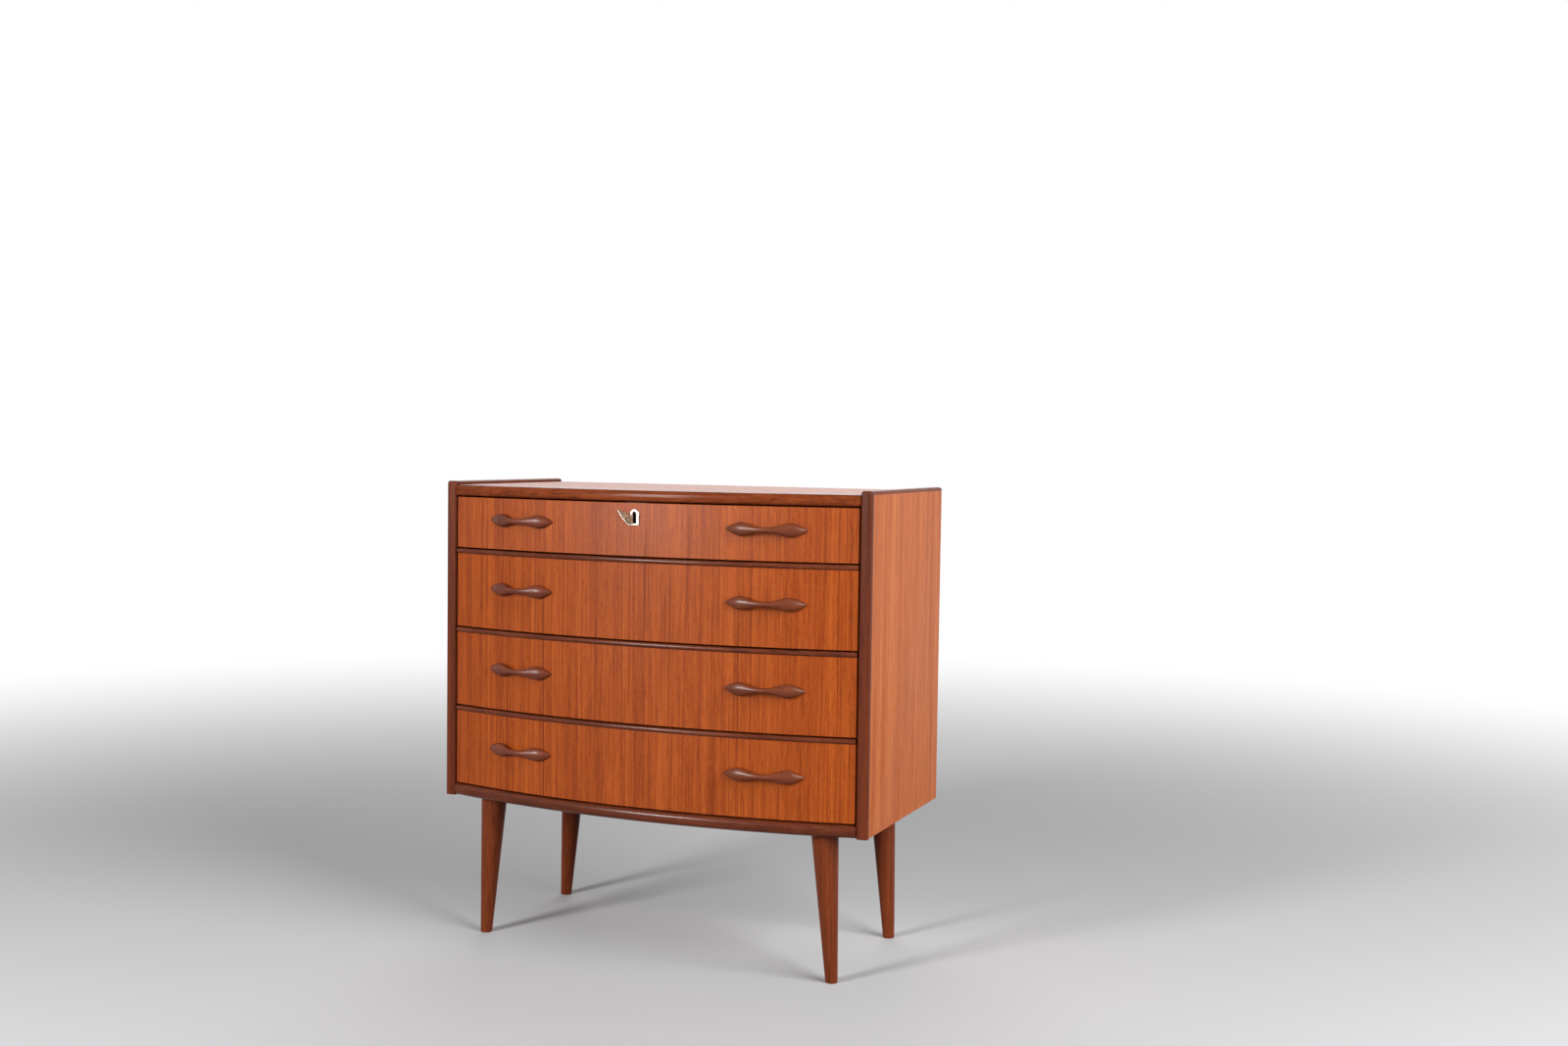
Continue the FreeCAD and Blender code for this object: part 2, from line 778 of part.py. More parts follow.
def case_nodes(drawers):
    nodes = {"top_panel": case_board(top_low, top_high), "top_front_moulding": top_moulding(),
             "bottom_front_rail": bottom_rail(), "back_panel": back_panel(),
             "back_panel_screws": screw_group(back_screw, back_screw_seats()),
             "lock_strike_plate": strike_plate()}
    right = {"side_panel": side_panel(drawers), "side_front_lipping": front_lipping(),
             "side_top_lipping": top_lipping(), "runners": Part.makeCompound([runner(d) for d in drawers])}
    for row, y in leg_rows().items():
        right["leg_" + row] = leg(y)
    for name, shape in right.items():
        nodes["right_" + name] = shape
        nodes["left_" + name] = mirrored(shape)
    studs = both_sides([stud(y, 0) for y in leg_rows().values()])
    nodes["leg_studs"] = Part.makeCompound(studs)
    bores = both_sides([stud(y, screw_clearance) for y in leg_rows().values()])
    nodes["bottom_panel"] = cut_all(case_board(leg_height, bottom_high), bores)
    seats = [seat for d in drawers for seat in runner_screw_seats(d)]
    screws = [turned_screw(runner_screw, *seat) for seat in seats]
    nodes["runner_screws"] = Part.makeCompound(both_sides(screws))
    return nodes


def drawer_nodes(drawer):
    side = drawer_side(drawer)
    pieces = {"front": drawer_front(drawer), "side_right": side, "side_left": mirrored(side),
              "back": drawer_back(drawer), "bottom": drawer_bottom(drawer),
              "handle_left": handle(drawer, "left"), "handle_right": handle(drawer, "right"),
              "handle_screws": screw_group(handle_screw, handle_screw_seats(drawer))}
    if drawer.high > drawer.panel_high:
        pieces["lip"] = drawer_lip(drawer)
    return {"drawer_%d_%s" % (drawer.number, name): shape for name, shape in pieces.items()}


def lock_nodes(drawer):
    return {"lock_escutcheon": escutcheon(drawer), "lock_case": lock_case(drawer),
            "lock_bolt": lock_bolt(drawer), "lock_screws": screw_group(lock_screw, lock_screw_seats(drawer))}


def export(nodes):
    """Write one file per piece, with the origin at the bottom centre of the whole chest's box."""
    box = Part.makeCompound(list(nodes.values())).optimalBoundingBox(False)
    to_origin = FreeCAD.Vector(-box.Center.x, -box.Center.y, -box.ZMin)
    os.makedirs("parts", exist_ok=True)
    for name, shape in nodes.items():
        placed = shape.copy()
        placed.translate(to_origin)
        placed.exportStep("parts/%s.step" % name)


def main():
    drawers = drawer_levels()
    nodes = case_nodes(drawers)
    for drawer in drawers:
        nodes.update(drawer_nodes(drawer))
    nodes.update(lock_nodes(drawers[0]))
    export(nodes)


main()
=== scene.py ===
"""Outer pieces and finishes of a bow front chest of drawers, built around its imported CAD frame.

Metres, +Z up, front towards -Y, origin at the bottom centre of the chest.
"""
import json
import math

import bmesh
import bpy
from bpy.props import FloatProperty, FloatVectorProperty, PointerProperty
from mathutils import Euler, Matrix, Vector

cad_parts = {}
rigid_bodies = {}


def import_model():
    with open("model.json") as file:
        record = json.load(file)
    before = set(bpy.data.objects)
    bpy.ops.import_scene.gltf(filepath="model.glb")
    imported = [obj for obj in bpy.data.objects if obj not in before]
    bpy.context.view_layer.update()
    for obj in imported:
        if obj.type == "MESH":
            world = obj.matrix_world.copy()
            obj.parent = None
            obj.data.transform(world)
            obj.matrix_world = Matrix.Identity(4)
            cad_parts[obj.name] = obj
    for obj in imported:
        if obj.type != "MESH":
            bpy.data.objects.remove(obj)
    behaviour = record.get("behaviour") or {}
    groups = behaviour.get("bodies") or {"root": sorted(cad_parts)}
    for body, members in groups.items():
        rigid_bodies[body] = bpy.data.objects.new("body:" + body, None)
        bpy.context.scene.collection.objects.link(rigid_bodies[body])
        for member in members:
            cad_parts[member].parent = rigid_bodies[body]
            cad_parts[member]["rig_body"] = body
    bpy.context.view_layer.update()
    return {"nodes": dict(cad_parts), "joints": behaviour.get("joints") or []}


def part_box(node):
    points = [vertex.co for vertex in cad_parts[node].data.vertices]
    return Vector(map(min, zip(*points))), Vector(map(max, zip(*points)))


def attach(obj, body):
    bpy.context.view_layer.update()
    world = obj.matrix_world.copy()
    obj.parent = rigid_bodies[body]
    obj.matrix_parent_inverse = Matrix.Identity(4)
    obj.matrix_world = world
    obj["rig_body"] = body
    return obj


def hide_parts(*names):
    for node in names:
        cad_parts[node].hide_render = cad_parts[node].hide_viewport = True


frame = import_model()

bl_info = {
    "name": "Bow Front Chest",
    "version": (1, 0, 0),
    "blender": (4, 5, 0),
    "location": "View3D > Sidebar > Chest",
    "description": "Models and finishes the outer pieces of a bow front chest of drawers",
    "category": "Object",
}

DRAWERS = (1, 2, 3, 4)
LIPPED_DRAWERS = (2, 3, 4)
LOCKED_DRAWER = 1
SIDES = {"left": -1, "right": 1}
LEG_ROWS = ("front", "back")
MM = 0.001

# Steps of the rounds, bends and arcs
ROUND_STEPS = 6
EASE_STEPS = 2
RIM_STEPS = 3
CHAMFER_STEPS = 1
BOW_STEPS = 28
TURNED_STEPS = 64
ARC_STEPS = 14

SMOOTH_ANGLE = math.radians(35)  # faces that meet at less are shaded as one
RIM_ANGLE = 1.0  # least angle between the faces at the rim of the keyhole plate, in radians
SLANTED = 0.9  # a face whose normal has less than this along Y is a wall of the keyhole
PLAIN_ROUND = 0.5  # profile of a quarter circle
FULL_ROUND = 0.63  # profile of a fuller curve
TOUCH = 1e-5  # places nearer than this are one place
SPARE = 0.01  # how far rough shapes and cutting tools pass what they shape

# Rings of half a handle from its tip to its middle, in millimetres:
# place along the handle, distance of the centre from the drawer front, half height, half depth
HANDLE_RINGS = (
    (64.2, 1.3, 0.6, 0.6),
    (61.0, 1.9, 2.6, 2.1),
    (54.0, 3.2, 6.4, 4.8),
    (46.0, 4.3, 9.7, 7.3),
    (37.5, 4.9, 11.4, 8.6),
    (28.5, 7.4, 9.4, 7.3),
    (19.0, 11.2, 5.8, 5.3),
    (9.0, 13.6, 4.3, 4.3),
    (0.0, 14.1, 4.1, 4.2),
)
HANDLE_SIDES = 20
HANDLE_LEVELS = 2

# Corners of the keyhole plate in millimetres from the round of the keyhole, across and up
PLATE_FOOT_LEFT = (-10.6, -17.6)
PLATE_FOOT_RIGHT = (7.8, -17.6)
PLATE_WING_TIP = (-30.5, 6.0)
PLATE_WING_OUTER = (-21.5, -7.7)
PLATE_WING_INNER = (-19.4, 2.9)
PLATE_NOTCH = (-7.33, -2.66)
PLATE_RING_TOP = (0.0, 7.8)
PLATE_RING_RIGHT = (7.8, 0.0)

# Hollow in the plate's wing: its depth and its corners
PLATE_HOLLOW = 0.6
HOLLOW_FOOT = (-10.0, -16.3)
HOLLOW_OUTER = (-20.1, -6.9)
HOLLOW_TIP = (-28.3, 5.4)
HOLLOW_INNER = (-19.0, 4.6)
HOLLOW_NOTCH = (-8.3, -1.7)
HOLLOW_SHOULDER = (-2.4, -1.0)
HOLLOW_HEEL = (-2.4, -15.9)

# Tones of the woods: what they are on, then their dark streaks, main tone and light streaks
WOOD_TONES = {
    "veneer": ("fronts and top",
               (0.145, 0.020, 0.003), (0.312, 0.057, 0.0066), (0.440, 0.098, 0.0155)),
    "side": ("the two sides",
             (0.270, 0.056, 0.014), (0.400, 0.105, 0.029), (0.500, 0.152, 0.050)),
    "edge": ("the lippings",
             (0.050, 0.009, 0.003), (0.118, 0.022, 0.007), (0.175, 0.039, 0.014)),
    "moulding": ("the moulding",
                 (0.055, 0.010, 0.003), (0.172, 0.032, 0.007), (0.290, 0.066, 0.019)),
    "rail": ("the rail and the lips",
             (0.045, 0.009, 0.004), (0.112, 0.021, 0.006), (0.175, 0.042, 0.017)),
    "handle": ("the handles",
               (0.095, 0.019, 0.007), (0.125, 0.026, 0.007), (0.190, 0.044, 0.014)),
    "leg": ("the legs",
            (0.075, 0.014, 0.004), (0.150, 0.030, 0.009), (0.215, 0.049, 0.015)),
    "beech": ("the drawer boxes",
              (0.380, 0.200, 0.090), (0.545, 0.330, 0.170), (0.650, 0.430, 0.245)),
    "ply": ("the plywood",
            (0.280, 0.140, 0.058), (0.455, 0.245, 0.115), (0.570, 0.355, 0.180)),
}
SHADES = {"dark": "Dark streaks", "mid": "Main tone", "light": "Light streaks"}


def length(name, description, default):
    return FloatProperty(name=name, description=description, default=default, min=0.0,
                         unit="LENGTH", precision=4)


def tone(name, description, default):
    return FloatVectorProperty(name=name, description=description, default=default,
                               min=0.0, max=1.0, size=3, subtype="COLOR")


def strength(name, description, default):
    return FloatProperty(name=name, description=description, default=default, min=0.0)


class ChestSizes(bpy.types.PropertyGroup):
    """Sizes of the outer pieces that the frame's boxes don't give."""

    side_ease: length("Side ease", "Radius of the lower and rear edges of the sides", 0.0018)
    bow_rise: length("Bow rise", "How far the front stands out between the two sides", 0.044)
    front_thickness: length("Front thickness", "Thickness of the drawer fronts", 0.020)
    front_ease: length("Front ease", "Softening of a drawer front's edges", 0.0008)
    moulding_overhang: length("Moulding overhang", "How far it and the rail pass the fronts", 0.003)
    moulding_depth: length("Moulding depth", "Depth of the moulding and the rail", 0.030)
    moulding_top_round: length("Moulding top round", "Depth of the full upper round", 0.0104)
    moulding_under_round: length("Moulding under round", "Depth of the full lower round", 0.0073)
    rail_round: length("Rail round", "Radius of the bottom rail's front edges", 0.0085)
    lip_overhang: length("Lip overhang", "How far a drawer's lip passes its front", 0.0025)
    lip_round: length("Lip round", "Radius of a lip's front edges", 0.0036)
    lipping_round: length("Lipping round", "Radius of the lippings on the sides", 0.0045)
    leg_top: length("Leg top", "Diameter of a leg under the case", 0.0425)
    leg_foot: length("Leg foot", "Diameter of a leg at the floor", 0.019)
    leg_splay: length("Leg splay", "How far a foot stands out from the top of its leg", 0.0145)
    foot_round: length("Foot round", "Radius of a foot's edge", 0.0015)
    plate_thickness: length("Plate thickness", "Thickness of the keyhole plate", 0.002)
    plate_bevel: length("Plate bevel", "Bevel round the keyhole plate", 0.0007)
    keyhole_ease: length("Keyhole ease", "Chamfer round the keyhole in its plate", 0.0007)
    keyhole_drop: length("Keyhole drop", "Depth of its round under the top of the front", 0.0173)
    keyhole_radius: length("Keyhole radius", "Radius of the keyhole's round", 0.0036)
    keyhole_slot: length("Keyhole slot", "Width of the keyhole's slot", 0.0056)
    keyhole_slot_drop: length("Keyhole slot drop", "Length of the slot under the round", 0.0145)
    lock_width: length("Lock width", "Width of the lock's case between its flanges", 0.044)
    lock_flange: length("Lock flange", "Thickness of the lock's flanges", 0.0015)
    lock_fit: length("Lock fit", "Room round the lock in the wood", 0.0002)
    bolt_width: length("Bolt width", "Width of the lock's bolt", 0.016)
    bolt_room: length("Bolt room", "Room round the raised bolt in the moulding", 0.001)


class ChestTones(bpy.types.PropertyGroup):
    """Colours of the woods and metals, and the levels of the studio lamps."""

    nickel: tone("Nickel", "Keyhole plate", (0.33, 0.30, 0.26))
    # Tarnish: dull patches on all the metal, and in the plate's hollow a painted dark reflection of
    # the wood
    tarnish_and_dark_reflection: tone("Tarnish", "Dull places on the metal", (0.050, 0.034, 0.028))
    # Painted reflection: the warm patches in the plate's hollow stand in for the wood mirrored
    # there
    painted_wood_reflection: tone("Patina", "Warm patches in the hollow of the keyhole plate", (0.200, 0.110, 0.060))
    steel: tone("Steel", "Screws, hanger bolts and strike plate", (0.42, 0.41, 0.39))
    # Lock steel: dark steel, made darker as painted shade where the lock shows through the keyhole
    # and in the gap over the top front
    lock_steel: tone("Lock steel", "Case and bolt of the lock", (0.17, 0.165, 0.16))
    # Bore: painted shade for the keyhole's walls and chamfer, near black, on top of the dark of
    # grease
    bore: tone("Bore", "Walls of the keyhole, dark with grease", (0.012, 0.008, 0.006))
    floor: tone("Floor", "Studio floor as the camera sees it", (0.53, 0.53, 0.54))
    floor_bounce: tone("Floor bounce", "How much light the floor throws back", (0.22, 0.22, 0.225))
    key_power: strength("Key lamp", "Power of the lamp on the right, in watts", 154.0)
    fill_power: strength("Fill lamp", "Power of the lamp in front, in watts", 96.0)
    back_power: strength("Back lamp", "Power of the lamp behind, in watts", 45.0)
    ambient: strength("Ambient", "Strength of the even light from all round", 0.13)


ChestTones.__annotations__.update({
    "%s_%s" % (family, shade): tone("%s %s" % (family.title(), shade), "%s of %s" % (label, place),
                                    default)
    for family, (place, *defaults) in WOOD_TONES.items()
    for (shade, label), default in zip(SHADES.items(), defaults)})


# Modelling


def fresh_start():
    if bpy.context.mode != "OBJECT":
        bpy.ops.object.mode_set(mode="OBJECT")
    bpy.ops.object.select_all(action="DESELECT")


def work_on(piece):
    """Make one piece the only selected and active object."""
    fresh_start()
    piece.select_set(True)
    bpy.context.view_layer.objects.active = piece


def start_editing(piece, kind):
    work_on(piece)
    bpy.ops.object.mode_set(mode="EDIT")
    bpy.ops.mesh.select_mode(type=kind)


def pick(kind, test):
    """Select the vertices, edges or faces of the piece in edit mode that pass a test."""
    mesh = bmesh.from_edit_mesh(bpy.context.object.data)
    bpy.ops.mesh.select_all(action="DESELECT")
    found = [item for item in getattr(mesh, kind) if test(item)]
    for item in found:
        item.select_set(True)
    if not found:
        raise RuntimeError("nothing to select on " + bpy.context.object.name)
    mesh.select_flush_mode()
    bmesh.update_edit_mesh(bpy.context.object.data)


def middle(edge):
    return sum((vert.co for vert in edge.verts), Vector()) / len(edge.verts)


def ease_edges(test, width, steps=ROUND_STEPS, clamp=False):
    """Round or chamfer the edges of the piece in edit mode that pass a test."""
    pick("edges", test)
    bpy.ops.mesh.bevel(offset=width, segments=steps, affect="EDGES", clamp_overlap=clamp)


def close_up():
    """Merge doubles, turn all faces outwards and leave edit mode."""
    bpy.ops.mesh.select_all(action="SELECT")
    bpy.ops.mesh.remove_doubles(threshold=TOUCH / 2)
    bpy.ops.mesh.normals_make_consistent(inside=False)
    bpy.ops.object.mode_set(mode="OBJECT")


def apply_modifier(piece, kind, **settings):
    work_on(piece)
    modifier = piece.modifiers.new(kind.title(), kind)
    for name, value in settings.items():
        setattr(modifier, name, value)
    bpy.ops.object.modifier_apply(modifier=modifier.name)


def cut_out(piece, tools):
    """Take each tool out of a piece and delete the tool."""
    for tool in tools:
        apply_modifier(piece, "BOOLEAN", operation="DIFFERENCE", solver="MANIFOLD", object=tool)
        if not piece.data.polygons:
            raise RuntimeError("%s took all of %s away" % (tool.name, piece.name))
        bpy.data.objects.remove(tool)
    start_editing(piece, "VERT")
    bpy.ops.mesh.select_all(action="SELECT")
    bpy.ops.mesh.dissolve_degenerate(threshold=TOUCH)
    close_up()


def smooth(piece):
    """Shade the rounds smooth and keep the large faces flat."""
    work_on(piece)
    bpy.ops.object.shade_smooth_by_angle(angle=SMOOTH_ANGLE)
    apply_modifier(piece, "WEIGHTED_NORMAL", keep_sharp=True)


def copied(piece, name):
    """A copy of a piece with a mesh of its own."""
    work_on(piece)
    bpy.ops.object.duplicate(linked=False)
    bpy.context.object.name = name
    return bpy.context.object


def solid_copy(node):
    """A copy of a CAD node's mesh with its loose triangles merged, to cut with."""
    tool = copied(frame["nodes"][node], node + "_tool")
    start_editing(tool, "VERT")
    close_up()
    return tool


def put_in_place(piece, node, material):
    """Give a finished piece its wood or metal and let it stand for its CAD node."""
    smooth(piece)
    piece.data.materials.clear()
    piece.data.materials.append(material)
    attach(piece, frame["nodes"][node]["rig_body"])
    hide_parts(node)


def named(name):
    """The primitive just added, under its name and with its place, turn and scale in its mesh."""
    piece = bpy.context.object
    piece.name = name
    bpy.ops.object.transform_apply(location=True, rotation=True, scale=True)
    return piece


def box_block(name, low, high):
    """A block between two corners."""
    fresh_start()
    bpy.ops.mesh.primitive_cube_add(size=1, location=(Vector(low) + Vector(high)) / 2)
    bpy.context.object.scale = Vector(high) - Vector(low)
    return named(name)


def bow():
    """Y of the bow's centre, and its radius at the face of the drawer fronts."""
    sizes = bpy.context.scene.chest_sizes
    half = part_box("right_side_panel")[0].x
    radius = (half ** 2 + sizes.bow_rise ** 2) / (2 * sizes.bow_rise)
    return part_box("drawer_1_front")[0].y + radius, radius


def bowed_bar(name, overhang, depth, half_width, low, high, low_round, high_round,
              ease=0.0, fullness=PLAIN_ROUND):
    """A bar bent along the bow, with rounded front edges.

    Half of it is spun about the bow's centre from its section, and then mirrored.
    """
    centre, radius = bow()
    front = centre - radius - overhang
    rear = front + depth
    section_middle = Vector((0, (front + rear) / 2, (low + high) / 2))
    fresh_start()
    bpy.ops.mesh.primitive_plane_add(size=1, location=section_middle, rotation=(0, math.pi / 2, 0))
    bar = named(name)
    start_editing(bar, "VERT")
    bpy.ops.mesh.select_all(action="SELECT")
    bpy.ops.transform.resize(value=(1, depth, high - low), center_override=section_middle)
    for level, rounding in ((low, low_round), (high, high_round)):
        pick("verts", lambda v: abs(v.co.y - front) < TOUCH and abs(v.co.z - level) < TOUCH)
        bpy.ops.mesh.bevel(offset=rounding, segments=ROUND_STEPS, profile=fullness,
                           affect="VERTICES")
    bpy.ops.mesh.select_all(action="SELECT")
    half_turn = math.asin((half_width + SPARE) / (centre - rear))
    bpy.ops.mesh.spin(steps=BOW_STEPS, angle=-half_turn, center=(0, centre, 0), axis=(0, 0, 1))
    bpy.ops.mesh.select_all(action="SELECT")
    bpy.ops.mesh.bisect(plane_co=(half_width, 0, 0), plane_no=(1, 0, 0),
                        use_fill=True, clear_outer=True)
    bpy.ops.mesh.select_mode(type="FACE")
    pick("faces", lambda f: all(abs(v.co.x) < TOUCH for v in f.verts))
    bpy.ops.mesh.delete(type="ONLY_FACE")
    if ease:
        bpy.ops.mesh.select_mode(type="EDGE")
        ease_edges(lambda e: all(abs(v.co.x - half_width) < TOUCH for v in e.verts),
                   ease, EASE_STEPS)
    close_up()
    apply_modifier(bar, "MIRROR", use_clip=True, merge_threshold=TOUCH)
    start_editing(bar, "VERT")
    close_up()
    return bar


def bow_seat(name):
    """The body of the fronts as one tall bent slab, to shape the backs of what sits on them."""
    sizes = bpy.context.scene.chest_sizes
    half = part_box("right_side_panel")[0].x
    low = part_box("bottom_front_rail")[0].z
    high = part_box("top_front_moulding")[1].z
    return bowed_bar(name, 0, sizes.front_thickness, half, low, high,
                     sizes.front_ease, sizes.front_ease)


def in_metres(points):
    """Points of an outline that is given in millimetres."""
    return [(x * MM, z * MM) for x, z in points]


def arc_points(start, through, end):
    """Points along the circle through three points, without the first."""
    (ax, ay), (bx, by), (cx, cy) = start, through, end
    d = 2 * (ax * (by - cy) + bx * (cy - ay) + cx * (ay - by))
    a2, b2, c2 = ax ** 2 + ay ** 2, bx ** 2 + by ** 2, cx ** 2 + cy ** 2
    x = (a2 * (by - cy) + b2 * (cy - ay) + c2 * (ay - by)) / d
    y = (a2 * (cx - bx) + b2 * (ax - cx) + c2 * (bx - ax)) / d
    radius = math.hypot(ax - x, ay - y)
    first, via, last = (math.atan2(q - y, p - x) for p, q in (start, through, end))
    sweep = (last - first) % math.tau
    if (via - first) % math.tau > sweep:
        sweep -= math.tau
    angles = [first + sweep * step / ARC_STEPS for step in range(1, ARC_STEPS + 1)]
    return [(x + radius * math.cos(angle), y + radius * math.sin(angle)) for angle in angles]


def drawn_plate(name, points, origin, depth):
    """A flat plate: one vertex is extruded along an outline, which is filled and extruded back."""
    fresh_start()
    path = [origin + Vector((x, 0, z)) for x, z in points]
    bpy.ops.mesh.primitive_plane_add(size=1, location=path[0])
    plate = named(name)
    start_editing(plate, "VERT")
    bpy.ops.mesh.select_all(action="SELECT")
    bpy.ops.mesh.merge(type="CENTER")
    for here, there in zip(path, path[1:] + path[:1]):
        bpy.ops.mesh.extrude_region_move(TRANSFORM_OT_translate={"value": there - here})
    bpy.ops.mesh.select_all(action="SELECT")
    bpy.ops.mesh.remove_doubles(threshold=TOUCH)
    bpy.ops.mesh.select_all(action="SELECT")
    bpy.ops.mesh.edge_face_add()
    bpy.ops.mesh.extrude_region_move(TRANSFORM_OT_translate={"value": (0, depth, 0)})
    close_up()
    return plate


def keyhole_place():
    """The round of the keyhole, on the face of the top drawer's front."""
    low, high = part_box("drawer_1_front")
    return Vector((0, low.y, high.z - bpy.context.scene.chest_sizes.keyhole_drop))


def keyhole_tool():
    """A bar with the outline of the keyhole that runs right through the front."""
    sizes = bpy.context.scene.chest_sizes
    radius, half = sizes.keyhole_radius, sizes.keyhole_slot / 2
    shoulder = -math.sqrt(radius ** 2 - half ** 2)
    right, left = (half, shoulder), (-half, shoulder)
    points = [right] + arc_points(right, (0, radius), left)
    points += [(-half, -sizes.keyhole_slot_drop), (half, -sizes.keyhole_slot_drop)]
    origin = keyhole_place() - Vector((0, SPARE, 0))
    return drawn_plate("keyhole_tool", points, origin, sizes.front_thickness + 2 * SPARE)


def in_keyhole(spot, centre):
    """True for a place on the walls, the rim or the chamfer of the keyhole."""
    sizes = bpy.context.scene.chest_sizes
    reach = sizes.keyhole_radius + sizes.keyhole_ease
    rise = spot.z - centre.z
    return abs(spot.x) < reach and -sizes.keyhole_slot_drop - sizes.keyhole_ease < rise < reach


def darken_keyhole(piece):
    """Give the walls and the chamfer of the keyhole their dark: grease, and painted shade that
    stands in for the shade inside the hole.
    """
    piece.data.materials.append(finish("greased_bore"))
    centre = keyhole_place()
    for face in piece.data.polygons:
        if in_keyhole(face.center, centre) and abs(face.normal.y) < SLANTED:
            face.material_index = 1


# Finishes

WHITE = (1, 1, 1, 1)

# Layers of noise: features per metre across and along the grain, detail and roughness.
# The layers of the second group have as many features across for each of a wood's bands.
SWAY = (5.0, 1.2, 1.0, 0.6)
FIBRE = (1100.0, 130.0, 2.0, 0.6)
PORES = (2100.0, 75.0, 1.0, 0.6)
BRUSHING = (5200.0, 420.0, 2.0, 0.6)
DULL_PATCHES = (160.0, 160.0, 3.0, 0.6)
# Patches of the warm painted reflection in the plate's hollow
WOOD_REFLECTION_PATCHES = (420.0, 300.0, 2.0, 0.6)

STREAKS = (1.0, 3.0, 4.0, 0.68)
DRIFT = (0.12, 0.8, 2.0, 0.6)
TICKS = (2.6, 26.0, 2.0, 0.6)
LINES = (2.2, 1.6, 1.0, 0.5)
FLOCKS = (0.07, 0.6, 1.0, 0.6)

NOISE_MIDDLE = 0.5
SWAY_REACH = 0.008  # how far the grain wanders, in metres

# Levels of noise at which a mask is 0 and 1
LINE_EDGE = (0.42, 0.28)
FLOCK_EDGE = (0.38, 0.58)
PORE_EDGE = (0.40, 0.29)
DULL_EDGE = (0.46, 0.72)
WOOD_REFLECTION_EDGE = (0.45, 0.66)
LINE_DEPTH = 0.8
DULL_DEPTH = 0.5

# How much each layer adds to the tone, the roughness and the relief
STREAK_TONE, DRIFT_TONE, TICK_TONE, FIBRE_TONE = 1.3, 0.7, 0.75, 0.6
TONE_STOPS = (0.08, 0.5, 0.92)
FIBRE_ROUGH, STREAK_ROUGH, DARK_ROUGH = 0.20, 0.16, 0.10
BRUSHING_ROUGH, DULL_ROUGH = 0.16, 0.22
FIBRE_RELIEF, STREAK_RELIEF, PORE_RELIEF = 0.5, 0.4, 0.9
WOOD_RELIEF, METAL_RELIEF = 0.0004, 0.0001  # depth of the bump, in metres
METAL_GRIT = 0.10
BORE_GLOSS = 0.6


class Wire:
    """A socket in a node tree; arithmetic on it adds the Math nodes that work it out."""

    def __init__(self, tree, socket=None):
        self.tree = tree
        self.socket = socket

    def node(self, kind, settings=None, inputs=None, output=0):
        """Add a node: its settings come first, then the values or links of its inputs."""
        node = self.tree.nodes.new(kind)
        for name, value in (settings or {}).items():
            if name == "stops":
                set_stops(node.color_ramp, value)
            else:
                setattr(node, name, value)
        for key, value in (inputs or {}).items():
            if isinstance(value, Wire):
                self.tree.links.new(value.socket, node.inputs[key])
            else:
                node.inputs[key].default_value = value
        return Wire(self.tree, node.outputs[output] if node.outputs else None)

    def math(self, operation, *values, clamp=False):
        settings = {"operation": operation, "use_clamp": clamp}
        return self.node("ShaderNodeMath", settings, dict(enumerate(values)))

    def vector(self, operation, other):
        return self.node("ShaderNodeVectorMath", {"operation": operation}, {0: self, 1: other})

    def __add__(self, other):
        return self.math("ADD", self, other)

    def __sub__(self, other):
        return self.math("SUBTRACT", self, other)

    def __rsub__(self, other):
        return self.math("SUBTRACT", other, self)

    def __mul__(self, other):
        return self.math("MULTIPLY", self, other)

    __radd__ = __add__
    __rmul__ = __mul__

    def clamped(self):
        return self.math("ADD", self, 0.0, clamp=True)

    def between(self, low, high):
        """0 below low, 1 above high and a smooth rise between them."""
        settings = {"interpolation_type": "SMOOTHSTEP"}
        inputs = {"Value": self, "From Min": low, "From Max": high}
        return self.node("ShaderNodeMapRange", settings, inputs)

    def swing(self, share):
        """How far a noise is from its middle, times a share."""
        return (self - NOISE_MIDDLE) * share

    def mix(self, under, over):
        """Colour that goes from under to over as this wire goes from 0 to 1."""
        colours = {0: self, 6: under, 7: over}  # 6 and 7 take colours, and output 2 gives one
        return self.node("ShaderNodeMix", {"data_type": "RGBA"}, colours, output=2)


def set_stops(ramp, stops):
    ramp.interpolation = "B_SPLINE"
    while len(ramp.elements) < len(stops):
        ramp.elements.new(0.5)
    for element, (position, colour) in zip(ramp.elements, stops):
        element.position = position
        element.color = colour


def solid(colour):
    return (*colour, 1.0)


def new_material(name):
    material = bpy.data.materials.new(name)
    material.use_nodes = True
    material.node_tree.nodes.clear()
    return material, Wire(material.node_tree)


def along(axis, across, lengthwise):
    """Scale of a pattern that is stretched along one axis."""
    return tuple(lengthwise if name == axis else across for name in "XYZ")


def figure(place, axis, layer, bands=1.0, output=0):
    """A layer of noise, drawn out along the grain."""
    across, lengthwise, detail, roughness = layer
    stretched = place.vector("MULTIPLY", along(axis, across * bands, lengthwise))
    inputs = {"Vector": stretched, "Scale": 1.0, "Detail": detail, "Roughness": roughness}
    return place.node("ShaderNodeTexNoise", None, inputs, output)


